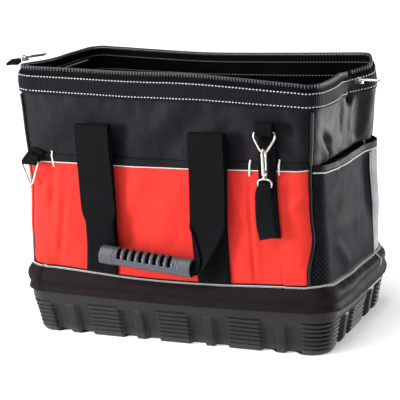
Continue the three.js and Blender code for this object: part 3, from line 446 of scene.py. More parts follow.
def cloth_material(name, colour, pitch=0.0011, rough=0.7, sheen=0.2, spec=0.35, var=0.16, bump=0.00010, lint=0.0):
    """Coated plain-weave polyester."""
    m = Mat(name, rough=rough, specular=spec, sheen=sheen, sheen_rough=0.45)
    c = srgb(colour)
    uv, u, v = m.uv()
    wu, wv = wave(m, u, pitch * 2), wave(m, v, pitch * 2)
    weave = m.math("MULTIPLY_ADD", m.math("MULTIPLY", wu, wv), 0.5, 0.5)
    slub = m.noise(m.node("ShaderNodeMapping", Vector=uv, Scale=(140, 900, 1)), 1.0, 2.0)
    slub2 = m.noise(m.node("ShaderNodeMapping", Vector=uv, Scale=(900, 140, 1)), 1.0, 2.0)
    thread = m.math("MULTIPLY", m.math("ADD", slub, slub2), 0.5)
    blotch = m.noise(m.place(), 22.0, 4.0, 0.6)
    tone = m.math("MULTIPLY_ADD", m.math("SUBTRACT", blotch, 0.5), var * 2.2, m.math("MULTIPLY_ADD", m.math("SUBTRACT", thread, 0.5), var * 1.6, 1.0))
    tone = m.math("MULTIPLY", tone, m.math("MULTIPLY_ADD", weave, 0.26, 0.82))
    m.colour(m.mix(1.0, c, m.node("ShaderNodeCombineColor", i0=tone, i1=tone, i2=tone), "MULTIPLY"))
    m.rough(m.math("MULTIPLY_ADD", m.math("SUBTRACT", blotch, 0.5), 0.22, rough))
    m.bump((m.noise(m.place(), 17.0, 3.0, 0.55), 0.011, 0.42), (m.noise(m.place(), 60.0, 3.0), 0.0022, 0.32), (weave, bump, 0.7), (thread, bump * 0.8, 0.5))
    return m.m


def webbing_material(name, colour, rib=0.0021, along="v", rough=0.62, diagonal=False, rib_depth=0.00035):
    """Woven polypropylene webbing: ribs across its width over fine warp threads."""
    m = Mat(name, rough=rough, specular=0.05, sheen=0.0, sheen_rough=0.4)
    c = srgb(colour)
    uv, u, v = m.uv()
    run, across = (v, u) if along == "v" else (u, v)
    if diagonal:
        run = m.math("MULTIPLY_ADD", across, 0.55, run)
    ribs = m.math("ABSOLUTE", m.math("SINE", m.math("MULTIPLY", run, math.pi / rib)))
    warp = wave(m, across, 0.0012)
    weft = wave(m, run, rib / 2)
    fine = m.math("MULTIPLY", warp, weft)
    fuzz = m.noise(m.node("ShaderNodeMapping", Vector=uv, Scale=(1400, 1400, 1)), 1.0, 3.0, 0.65)
    worn = m.noise(m.place(), 34.0, 4.0, 0.6)
    tone = m.math("MULTIPLY_ADD", ribs, 0.55, 0.55)
    tone = m.math("MULTIPLY", tone, m.math("MULTIPLY_ADD", fine, 0.13, 1.0))
    tone = m.math("MULTIPLY", tone, m.math("MULTIPLY_ADD", m.math("SUBTRACT", fuzz, 0.5), 0.5, 1.0))
    tone = m.math("MULTIPLY", tone, m.math("MULTIPLY_ADD", m.math("SUBTRACT", worn, 0.5), 0.5, 1.0))
    m.colour(m.mix(1.0, c, m.node("ShaderNodeCombineColor", i0=tone, i1=tone, i2=tone), "MULTIPLY"))
    m.rough(m.math("MULTIPLY_ADD", m.math("SUBTRACT", worn, 0.5), 0.3, rough))
    m.bump((ribs, rib_depth, 0.8), (fine, 0.00012, 0.6), (fuzz, 0.00012, 0.35))
    return m.m


def mesh_material(name, colour, hole, pitch=0.0030):
    """Knitted open mesh: a net of small lens-shaped holes."""
    m = Mat(name, rough=0.72, specular=0.03, sheen=0.0, sheen_rough=0.4)
    uv, u, v = m.uv()
    a = m.math("ADD", m.math("MULTIPLY", u, 1.0), m.math("MULTIPLY", v, 0.62))
    b = m.math("SUBTRACT", m.math("MULTIPLY", u, 1.0), m.math("MULTIPLY", v, 0.62))
    net = m.math("ADD", wave(m, a, pitch), wave(m, b, pitch))          # -2 to 2, high inside the holes
    inside = m.node("ShaderNodeMapRange", Value=net, From_Min=0.35, From_Max=0.85)
    strands = m.math("SUBTRACT", 1.0, inside)
    fuzz = m.noise(m.node("ShaderNodeMapping", Vector=uv, Scale=(1600, 1600, 1)), 1.0, 3.0)
    patch = m.noise(m.place(), 26.0, 4.0, 0.6)
    thread = m.ramp(m.math("MULTIPLY_ADD", m.math("SUBTRACT", fuzz, 0.5), 0.5, patch),
                    [(0.25, scaled(srgb(colour), 0.72)), (0.75, scaled(srgb(colour), 1.5))])
    m.colour(m.mix(inside, thread, srgb(hole)))
    m.rough(m.math("MULTIPLY_ADD", inside, 0.3, 0.55))
    m.bump((strands, 0.0006, 0.85), (fuzz, 0.00012, 0.4))
    return m.m


def rubber_material(name, colour):
    m = Mat(name, rough=0.5, specular=0.30)
    c = srgb(colour)
    p = m.place()
    grain = m.noise(p, 1500.0, 3.0, 0.6)
    cloud = m.noise(p, 18.0, 5.0, 0.6)
    fine = m.noise(p, 140.0, 4.0, 0.55)
    sep = m.t.nodes.new("ShaderNodeSeparateXYZ")
    m.put(sep.inputs[0], p)
    dust = m.node("ShaderNodeMapRange", Value=m.math("MULTIPLY_ADD", fine, 0.012, sep.outputs[2]), From_Min=0.001, From_Max=0.020, To_Min=1.0, To_Max=0.0)
    edge = m.node("ShaderNodeMapRange", Value=m.node("ShaderNodeNewGeometry", out=7), From_Min=0.505, From_Max=0.56)
    tone = m.math("MULTIPLY_ADD", m.math("SUBTRACT", cloud, 0.5), 0.30, m.math("MULTIPLY_ADD", m.math("SUBTRACT", fine, 0.5), 0.16, 1.0))
    base = m.mix(1.0, c, m.node("ShaderNodeCombineColor", i0=tone, i1=tone, i2=tone), "MULTIPLY")
    base = m.mix(m.math("MULTIPLY", edge, 0.35), base, scaled(c, 2.1))
    base = m.mix(m.math("MULTIPLY", dust, 0.16), base, srgb(0x8c8a86))
    m.colour(base)
    m.rough(m.math("MULTIPLY_ADD", cloud, 0.22, 0.40))
    m.bump((grain, 0.00012, 0.35), (fine, 0.00035, 0.25))
    return m.m


def plastic_material(name, colour):
    m = Mat(name, rough=0.36, specular=0.5)
    c = srgb(colour)
    p = m.place()
    grain = m.noise(p, 1100.0, 2.0, 0.5)
    cloud = m.noise(p, 60.0, 4.0, 0.6)
    edge = m.node("ShaderNodeMapRange", Value=m.node("ShaderNodeNewGeometry", out=7), From_Min=0.51, From_Max=0.60)
    tone = m.math("MULTIPLY_ADD", m.math("SUBTRACT", cloud, 0.5), 0.22, 1.0)
    base = m.mix(1.0, c, m.node("ShaderNodeCombineColor", i0=tone, i1=tone, i2=tone), "MULTIPLY")
    m.colour(m.mix(m.math("MULTIPLY", edge, 0.4), base, scaled(c, 1.8)))
    m.rough(m.math("MULTIPLY_ADD", cloud, 0.25, 0.26))
    m.bump((grain, 0.00008, 0.35))
    return m.m


def metal_material(name, colour):
    m = Mat(name, rough=0.3, metallic=1.0)
    c = srgb(colour)
    p = m.place()
    cloud = m.noise(p, 90.0, 4.0, 0.6)
    scratch = m.noise(m.node("ShaderNodeMapping", Vector=p, Scale=(3000, 300, 900)), 1.0, 2.0)
    tone = m.math("MULTIPLY_ADD", m.math("SUBTRACT", cloud, 0.5), 0.3, 1.0)
    m.colour(m.mix(1.0, c, m.node("ShaderNodeCombineColor", i0=tone, i1=tone, i2=m.math("MULTIPLY", tone, 0.98)), "MULTIPLY"))
    m.rough(m.math("MULTIPLY_ADD", cloud, 0.22, 0.22))
    m.bump((scratch, 0.00006, 0.3))
    return m.m


def cord_material(name, colour, rough=0.6, twist=0.0016):
    """Twisted thread or covered piping cord."""
    m = Mat(name, rough=rough, specular=0.3, sheen=0.0)
    c = srgb(colour)
    uv, u, v = m.uv()
    ply = m.math("ABSOLUTE", m.math("SINE", m.math("MULTIPLY", m.math("ADD", u, m.math("MULTIPLY", v, 0.8)), math.pi / twist)))
    fuzz = m.noise(m.place(), 900.0, 3.0, 0.6)
    soil = m.noise(m.place(), 40.0, 4.0, 0.6)
    tone = m.math("MULTIPLY", m.math("MULTIPLY_ADD", ply, 0.34, 0.72), m.math("MULTIPLY_ADD", m.math("SUBTRACT", soil, 0.5), 0.22, 1.0))
    m.colour(m.mix(1.0, c, m.node("ShaderNodeCombineColor", i0=tone, i1=tone, i2=tone), "MULTIPLY"))
    m.rough(m.math("MULTIPLY_ADD", fuzz, 0.2, rough - 0.1))
    m.bump((ply, 0.0003, 0.7), (fuzz, 0.0001, 0.4))
    return m.m


def teeth_material(name, colour):
    m = Mat(name, rough=0.35, specular=0.5)
    p = m.place()
    cloud = m.noise(p, 120.0, 3.0, 0.6)
    m.colour(m.ramp(cloud, [(0.3, scaled(srgb(colour), 0.7)), (0.7, scaled(srgb(colour), 1.35))]))
    m.rough(m.math("MULTIPLY_ADD", cloud, 0.25, 0.22))
    m.bump((m.noise(p, 1500.0, 2.0), 0.00008, 0.3))
    return m.m


M_BLACK = cloth_material("black_cloth", 0x131017, rough=0.58, sheen=0.0, spec=0.11, var=0.40)
M_LINING = cloth_material("lining_cloth", 0x050506, rough=0.70, sheen=0.0, spec=0.05, var=0.2)
M_BAND = cloth_material("band_cloth", 0x1a1416, rough=0.66, sheen=0.0, spec=0.06, var=0.36)
M_BIND = cloth_material("binding_cloth", 0x070709, rough=0.62, sheen=0.0, spec=0.12, var=0.2, pitch=0.0008)
M_RED = cloth_material("red_cloth", 0xd2322a, rough=0.66, sheen=0.0, spec=0.08, var=0.12)
M_NET = mesh_material("mesh_cloth", 0x16181e, 0x020203, pitch=0.0036)
M_NET_GREY = mesh_material("mesh_tape", 0xa2a3a8, 0x2a2b30, pitch=0.0024)
M_WEB = webbing_material("webbing", 0x0b0b0d)
M_WEB_U = webbing_material("webbing_rim", 0x17181f, rib=0.0028, along="u", rib_depth=0.0008)
M_WEB_D = webbing_material("webbing_keeper", 0x111216, rib=0.0032, diagonal=True, rib_depth=0.0008)
M_TAPE = webbing_material("zip_tape", 0x0b0b0e, rib=0.0013, along="u", rib_depth=0.00012)
M_RUBBER = rubber_material("rubber", 0x131317)
# near-black copy of the rubber for the faces in the block grooves: painted shade in the grooves
M_RUBBER_SHADE = rubber_material("rubber_groove_shade", 0x030303)
M_GRIP = plastic_material("grip_plastic", 0x3e4048)
# near-black for the faces in the grip's slots: painted shade in the slots
M_SLOT_SHADE = cloth_material("grip_slot_shade", 0x020202, rough=0.8, sheen=0.0, spec=0.02, var=0.2)
M_METAL = metal_material("nickel", 0xd2cfc8)
M_WHITE = cord_material("white_cord", 0xcbc9c6)
M_THREAD = cord_material("white_thread", 0xe9e7e4, twist=0.0007)
M_GREY = cord_material("grey_thread", 0xa6a6aa, twist=0.0007)
M_CORD = cord_material("black_cord", 0x0c0c10, rough=0.5, twist=0.0020)
M_TEETH = teeth_material("zip_teeth", 0x55565b)
M_TOOTH_BASE = teeth_material("zip_core", 0x121214)

# ------------------------------------------------------------------ mesh tools
counts = {}


def grid_faces(nu, nv, wrap_u=False, wrap_v=False):
    i = np.arange(nu if wrap_u else nu - 1)
    j = np.arange(nv if wrap_v else nv - 1)
    I, J = (a.ravel() for a in np.meshgrid(i, j, indexing="ij"))
    ci = np.stack([I, I + 1, I + 1, I], 1)
    cj = np.stack([J, J, J + 1, J + 1], 1)
    return (ci % nu) * nv + (cj % nv), ci, cj


def build(name, V, F, UV, mats, fmat=None, node=(), body="bag", slot=None, smooth=True, fix=True, angle=None):
    """One piece from points in mm, faces, corner UVs in mm and materials."""
    me = bpy.data.meshes.new(name)
    me.from_pydata((np.asarray(V, float) * MM).tolist(), [], F.tolist() if isinstance(F, np.ndarray) else F)
    if UV is not None:
        layer = me.uv_layers.new(name="cloth")
        layer.data.foreach_set("uv", (np.asarray(UV, np.float32) * MM).ravel())
    mats = mats if isinstance(mats, (list, tuple)) else [mats]
    for m in mats:
        me.materials.append(m)
    if fmat is not None:
        me.polygons.foreach_set("material_index", np.asarray(fmat, np.int32))
    if fix:
        import bmesh
        bm = bmesh.new()
        bm.from_mesh(me)
        bmesh.ops.recalc_face_normals(bm, faces=bm.faces)
        bm.to_mesh(me)
        bm.free()
    me.polygons.foreach_set("use_smooth", np.full(len(me.polygons), smooth))
    me.validate()
    me.update()
    o = bpy.data.objects.new(name, me)
    bpy.context.scene.collection.objects.link(o)
    if angle is not None:
        me.set_sharp_from_angle(angle=math.radians(angle))
    if node:
        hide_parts(*([node] if isinstance(node, str) else node))
    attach(o, body)
    counts[name] = sum(len(p.vertices) - 2 for p in me.polygons)
    return o


class Bag:
    """Collects small shapes that become one joined piece."""

    def __init__(self):
        self.V, self.F, self.UV, self.M, self.n = [], [], [], [], 0

    def add(self, V, F, UV=None, mat=0):
        V = np.asarray(V, float)
        self.V.append(V)
        self.F.append(np.asarray(F) + self.n)
        if UV is None:
            UV = V[np.asarray(F)][..., :2]
        self.UV.append(np.asarray(UV, float))
        self.M.append(np.full(len(F), mat))
        self.n += len(V)

    def build(self, name, mats, **k):
        return build(name, np.concatenate(self.V), np.concatenate(self.F), np.concatenate(self.UV), mats,
                     fmat=np.concatenate(self.M), **k)


def loft(P, U=None, Vc=None, wrap_u=False, wrap_v=True, cap=True):
    """Points (nu, nv, 3) to V, F, UV; U and Vc are lengths with one more value where they wrap."""
    nu, nv = P.shape[:2]
    F, ci, cj = grid_faces(nu, nv, wrap_u, wrap_v)
    if U is None:
        d = np.linalg.norm(np.diff(P.mean(1), axis=0), axis=1)
        U = np.concatenate([[0], np.cumsum(d), [np.sum(d) * (nu + 1) / max(nu, 1)]])
    if Vc is None:
        ring = P[nu // 2]
        d = np.linalg.norm(np.roll(ring, -1, 0) - ring, axis=1)
        Vc = np.concatenate([[0], np.cumsum(d)])
    UV = np.stack([np.asarray(U)[ci], np.asarray(Vc)[cj]], -1)
    if cap and not wrap_u:
        extra = []
        for base in (0, (nu - 1) * nv):
            for k in range(nv // 2 - 1):
                extra.append([base + k, base + k + 1, base + nv - 2 - k, base + nv - 1 - k])
        extra = np.array(extra)
        F = np.concatenate([F, extra])
        V = P.reshape(-1, 3)
        UV = np.concatenate([UV, np.stack([V[extra][..., 0], V[extra][..., 2]], -1)])
    return P.reshape(-1, 3), F, UV


def slab_profile(z0, z1, o0, o1, dz=3.0, r=None):
    """Closed (z, off) loop of a flat cloth layer with rounded edges: outer side up, inner side back down."""
    r = min((o1 - o0) / 2, 1.2) if r is None else r
    n = max(2, int(round((z1 - z0 - 2 * r) / dz)))
    zz = np.linspace(z0 + r, z1 - r, n + 1)
    mid = (o0 + o1) / 2
    h = (o1 - o0) / 2
    arc = [(math.sin(a), math.cos(a)) for a in np.radians([25, 50, 75])]
    top = [(z1 - r + r * sa, mid + h * ca) for sa, ca in arc]
    bot = [(z0 + r - r * sa, mid + h * ca) for sa, ca in arc]
    outer = bot[::-1] + [(z, o1) for z in zz] + top
    inner = [(z, 2 * mid - o) for z, o in outer][::-1]
    return np.array(outer + inner)


def round_profile(z, off, r, n=8, flat=1.0):
    a = np.linspace(0, 2 * np.pi, n, endpoint=False) + np.pi / n
    return np.stack([z + r * np.sin(a), off + r * flat * np.cos(a)], 1)


def hug_points(s0, s1, step, prof, zadd=None, offadd=None, wrap=False):
    u0, u1 = float(u_of(s0)), float(u_of(s1))
    n = max(3, int(round(abs(u1 - u0) / step)))
    U = np.linspace(u0, u1, n + 1)
    s = s_of(U if not wrap else U[:-1])
    Z = prof[:, 0][None, :] + (zadd(s) if zadd else np.zeros_like(s))[:, None]
    O = np.broadcast_to(prof[:, 1][None, :], Z.shape)
    if offadd:
        O = O + offadd(s[:, None] + 0 * Z, Z)
    P = S(s[:, None] + 0 * Z, Z, O)
    ring = np.concatenate([prof, prof[:1]])
    Vc = np.concatenate([[0], np.cumsum(np.hypot(*np.diff(ring, axis=0).T))])
    return P, U, Vc


def hug(name, s0, s1, step, prof, mat, zadd=None, offadd=None, wrap=False, into=None, **k):
    """A piece that follows the bag's wall."""
    P, U, Vc = hug_points(s0, s1, step, prof, zadd, offadd, wrap)
    V, F, UV = loft(P, U, Vc, wrap_u=wrap)
    if into is not None:
        into.add(V, F, UV)
        return None
    return build(name, V, F, UV, mat, **k)


def catmull(P, n, closed=False):
    P = np.asarray(P, float)
    if closed:
        Q = np.concatenate([P[-1:], P, P[:2]])
    else:
        Q = np.concatenate([2 * P[:1] - P[1:2], P, 2 * P[-1:] - P[-2:-1]])
    d = np.linalg.norm(np.diff(Q[:, :3], axis=0), axis=1)
    t = np.concatenate([[0], np.cumsum(np.sqrt(np.maximum(d, 1e-6)))])
    lo, hi = t[1], t[-2]
    x = np.linspace(lo, hi, n, endpoint=not closed)
    out = np.zeros((len(x), P.shape[1]))
    k = np.clip(np.searchsorted(t, x, side="right") - 1, 1, len(Q) - 3)
    t0, t1, t2, t3 = t[k - 1], t[k], t[k + 1], t[k + 2]
    p0, p1, p2, p3 = Q[k - 1], Q[k], Q[k + 1], Q[k + 2]

    def L(a, b, ta, tb):
        return ((tb - x) / (tb - ta))[:, None] * a + ((x - ta) / (tb - ta))[:, None] * b
    a1, a2, a3 = L(p0, p1, t0, t1), L(p1, p2, t1, t2), L(p2, p3, t2, t3)
    b1, b2 = L(a1, a2, t0, t2), L(a2, a3, t1, t3)
    return L(b1, b2, t1, t2)


def even(P, step, closed=False):
    """Points resampled along their length."""
    P = np.asarray(P, float)
    Q = np.concatenate([P, P[:1]]) if closed else P
    d = np.concatenate([[0], np.cumsum(np.linalg.norm(np.diff(Q[:, :3], axis=0), axis=1))])
    n = max(2, int(round(d[-1] / step)))
    x = np.linspace(0, d[-1], n + 1)
    out = np.stack([np.interp(x, d, Q[:, c]) for c in range(Q.shape[1])], 1)
    return out[:-1] if closed else out


def rounded(points, corner, steps=6):
    """Closed polygon with rounded corners."""
    P = [np.array(p, float) for p in points]
    out, n = [], len(P)
    for i in range(n):
        p, a, b = P[i], P[i - 1], P[(i + 1) % n]
        u, v = a - p, b - p
        cu, cv = min(corner, np.linalg.norm(u) * 0.45), min(corner, np.linalg.norm(v) * 0.45)
        s, e = p + u / np.linalg.norm(u) * cu, p + v / np.linalg.norm(v) * cv
        for k in range(steps + 1):
            t = k / steps
            out.append((1 - t) ** 2 * s + 2 * t * (1 - t) * p + t * t * e)
    return np.array(out)


def tube(pts, r, sides=12, closed=False, ends=True):
    """V, F, UV of a round rod; r is one radius or one per point."""
    P = np.asarray(pts, float)
    n = len(P)
    r = np.broadcast_to(np.asarray(r, float), (n,))
    T = (np.roll(P, -1, 0) - np.roll(P, 1, 0)) if closed else np.gradient(P, axis=0)
    T /= np.linalg.norm(T, axis=1, keepdims=True)
    a = np.array([0, 0, 1.0]) if abs(T[0, 2]) < 0.9 else np.array([0, 1.0, 0])
    rings = []
    ang = np.linspace(0, 2 * np.pi, sides, endpoint=False)
    for i in range(n):
        a = a - T[i] * (a @ T[i])
        a /= np.linalg.norm(a)
        b = np.cross(T[i], a)
        rings.append(P[i] + r[i] * (np.cos(ang)[:, None] * a + np.sin(ang)[:, None] * b))
    R = np.array(rings)
    if ends and not closed:     # rounded ends
        def cap(i, sign):
            return [P[i] + sign * T[i] * r[i] * 0.35 + (R[i] - P[i]) * 0.8, P[i] + sign * T[i] * r[i] * 0.5 + (R[i] - P[i]) * 0.3]
        h, t = cap(0, -1), cap(n - 1, 1)
        R = np.concatenate([[h[1], h[0]], R, [t[0], t[1]]])
    d = np.linalg.norm(np.diff(R.mean(1), axis=0), axis=1)
    U = np.concatenate([[0], np.cumsum(d)])
    U = np.concatenate([U, [U[-1] + (np.linalg.norm(P[0] - P[-1]) if closed else 0)]])
    Vc = np.linspace(0, 2 * np.pi * float(r.mean()), sides + 1)
    return loft(R, U, Vc, wrap_u=closed, wrap_v=True, cap=not closed)


def strap(rows, thick, step=3.0, nw=9, cross=None, edge=0.35):
    """Flat webbing along rows of x, y, z, width, ax, ay, az. cross(width) gives its mid-line across."""
    R = even(catmull(rows, len(rows) * 14), step)
    P, W, A = R[:, :3], R[:, 3], R[:, 4:7]
    T = np.gradient(P, axis=0)
    T /= np.linalg.norm(T, axis=1, keepdims=True)
    A = A - T * np.sum(A * T, 1, keepdims=True)
    A /= np.linalg.norm(A, axis=1, keepdims=True)
    N = np.cross(T, A)
    rings, Vc = [], None
    for i in range(len(P)):
        if cross is None:
            q = np.linspace(-0.5, 0.5, nw)
            mid = np.stack([q * W[i], np.zeros(nw)], 1)
            arc = q * W[i]
        else:
            mid, arc = cross(W[i], nw)
        t2 = np.gradient(mid, axis=0)
        t2 /= np.linalg.norm(t2, axis=1, keepdims=True) + 1e-9
        nn = np.stack([-t2[:, 1], t2[:, 0]], 1)
        h = np.full(len(mid), thick / 2)
        h[0] = h[-1] = thick * edge
        outer, inner = mid + nn * h[:, None], mid - nn * h[:, None]
        loop = np.concatenate([outer, inner[::-1]])
        rings.append(P[i] + loop[:, :1] * A[i] + loop[:, 1:] * N[i])
        if Vc is None or i == len(P) // 2:
            Vc = np.concatenate([arc, arc[::-1], arc[:1]])
    rings = np.array(rings)
    d = np.concatenate([[0], np.cumsum(np.linalg.norm(np.diff(P, axis=0), axis=1))])
    V, F, UV = loft(rings, d, Vc, wrap_u=False, wrap_v=True, cap=True)
    return V, F, UV[..., ::-1]        # u across, v along


# ------------------------------------------------------------------ stitches
def capsule(sides=6):
    a = np.linspace(0, 2 * np.pi, sides, endpoint=False)
    rings = []
    for x, k in ((-0.5, 0.45), (-0.36, 0.95), (0.0, 1.12), (0.36, 0.95), (0.5, 0.45)):
        rings.append(np.stack([np.full(sides, x), np.cos(a) * k, np.sin(a) * k], 1))
    V, F, UV = loft(np.array(rings), wrap_u=False, wrap_v=True, cap=True)
    return V, F


CAP_V, CAP_F = capsule()
sewn = {"white": Bag(), "grey": Bag(), "black": Bag()}


def put_stitches(key, C, T, N, length, r, flat=0.75):
    """Capsules centred at C, lying along T on a surface with normal N."""
    T = T / np.linalg.norm(T, axis=1, keepdims=True)
    N = N - T * np.sum(N * T, 1, keepdims=True)
    N /= np.linalg.norm(N, axis=1, keepdims=True)
    B = np.cross(N, T)
    length = np.broadcast_to(length, (len(C),))
    V = (C[:, None, :] + CAP_V[None, :, 0:1] * length[:, None, None] * T[:, None, :]
         + CAP_V[None, :, 1:2] * r * B[:, None, :] + CAP_V[None, :, 2:3] * r * flat * N[:, None, :])
    k = len(CAP_V)
    F = (CAP_F[None] + (np.arange(len(C)) * k)[:, None, None]).reshape(-1, 4)
    local = np.stack([CAP_V[CAP_F][..., 0] * 3, CAP_V[CAP_F][..., 1] * r], -1)
    UV = np.broadcast_to(local[None], (len(C), *local.shape)).reshape(-1, 4, 2)
    sewn[key].add(V.reshape(-1, 3), F, UV)


def sew(key, s0, s1, z, off, pitch=3.4, length=2.5, r=0.55, tilt=0.0, inward=False, seed=1):
    """A line of stitches on the wall at height z (a number, or a function of s)."""
    u0, u1 = float(u_of(s0)), float(u_of(s1))
    U = np.linspace(u0, u1, max(8, int(abs(u1 - u0) / 1.5)))
    s = s_of(U)
    zz = z(s) if callable(z) else np.full_like(s, float(z))
    P = S(s, zz, off)
    N = normal_at(s, zz, off) * (-1 if inward else 1)
    d = np.concatenate([[0], np.cumsum(np.linalg.norm(np.diff(P, axis=0), axis=1))])
    g = np.random.default_rng(seed)
    x = np.arange(pitch / 2, d[-1], pitch)
    x = np.clip(x + g.normal(0, 0.08, len(x)), 0.1, d[-1] - 0.1)
    C = np.stack([np.interp(x, d, P[:, c]) for c in range(3)], 1)
    T = np.stack([np.interp(x + 0.7, d, P[:, c]) - np.interp(x - 0.7, d, P[:, c]) for c in range(3)], 1)
    M = np.stack([np.interp(x, d, N[:, c]) for c in range(3)], 1)
    T /= np.linalg.norm(T, axis=1, keepdims=True)
    B = np.cross(M, T)
    T = T + B * (tilt + g.normal(0, 0.03, len(x)))[:, None]
    put_stitches(key, C, T, M, length * (1 + g.normal(0, 0.04, len(x))), r)


def sew_path(key, P, N, pitch=3.4, length=2.5, r=0.5, tilt=0.0):
    """Stitches along a free line of points with normals."""
    P, N = np.asarray(P, float), np.asarray(N, float)
    d = np.concatenate([[0], np.cumsum(np.linalg.norm(np.diff(P, axis=0), axis=1))])
    x = np.arange(pitch / 2, d[-1], pitch)
    C = np.stack([np.interp(x, d, P[:, c]) for c in range(3)], 1)
    T = np.stack([np.interp(x + 0.7, d, P[:, c]) - np.interp(x - 0.7, d, P[:, c]) for c in range(3)], 1)
    M = np.stack([np.interp(x, d, N[:, c]) for c in range(3)], 1)
    T /= np.linalg.norm(T, axis=1, keepdims=True)
    T = T + np.cross(M, T) * tilt
    put_stitches(key, C, T, M, np.full(len(x), length), r)


# ------------------------------------------------------------------ moulded base
PITCH, BLOCK, BLOCK_SIDE, RIB, RECESS = 105.8, 47.8, 54.0, 14.0, 22.0
EX_T, EY_T = 228.0 - 32, 127.6 - 32


def base_columns():
    """Reference positions round the base: wall, position along it in mm, or corner angle."""
    cols = []
    fx = np.linspace(-EX_T, EX_T, 236)
    sy = np.linspace(-EY_T, EY_T, 118)
    ar = np.linspace(0, 90, 24)[1:-1]
    cols += [("front", v) for v in fx] + [("cfr", a) for a in ar]
    cols += [("right", v) for v in sy] + [("cbr", a) for a in ar]
    cols += [("back", v) for v in fx] + [("cbl", a) for a in ar]
    cols += [("left", v) for v in sy] + [("cfl", a) for a in ar]
    return cols


def bumps(p, feats, edge=1.5):
    """1 on a raised feature, 0 between, for positions p."""
    out = np.zeros_like(p)
    for c, wd in feats:
        out = np.maximum(out, smoothstep((wd / 2 - np.abs(p - c)) / edge + 0.5))
    return out


side_rib = BLOCK_SIDE / 2 + RECESS + RIB / 2
FRONT_FEATS = dict(blocks=[(-PITCH, BLOCK), (0, BLOCK), (PITCH, BLOCK)],
                   ribs=[(k * PITCH, RIB) for k in (-1.5, -0.5, 0.5, 1.5)], half=1.5 * PITCH + RIB / 2 + RECESS)
SIDE_FEATS = dict(blocks=[(0, BLOCK_SIDE)], ribs=[(-side_rib, RIB), (side_rib, RIB)], half=side_rib + RIB / 2 + RECESS)


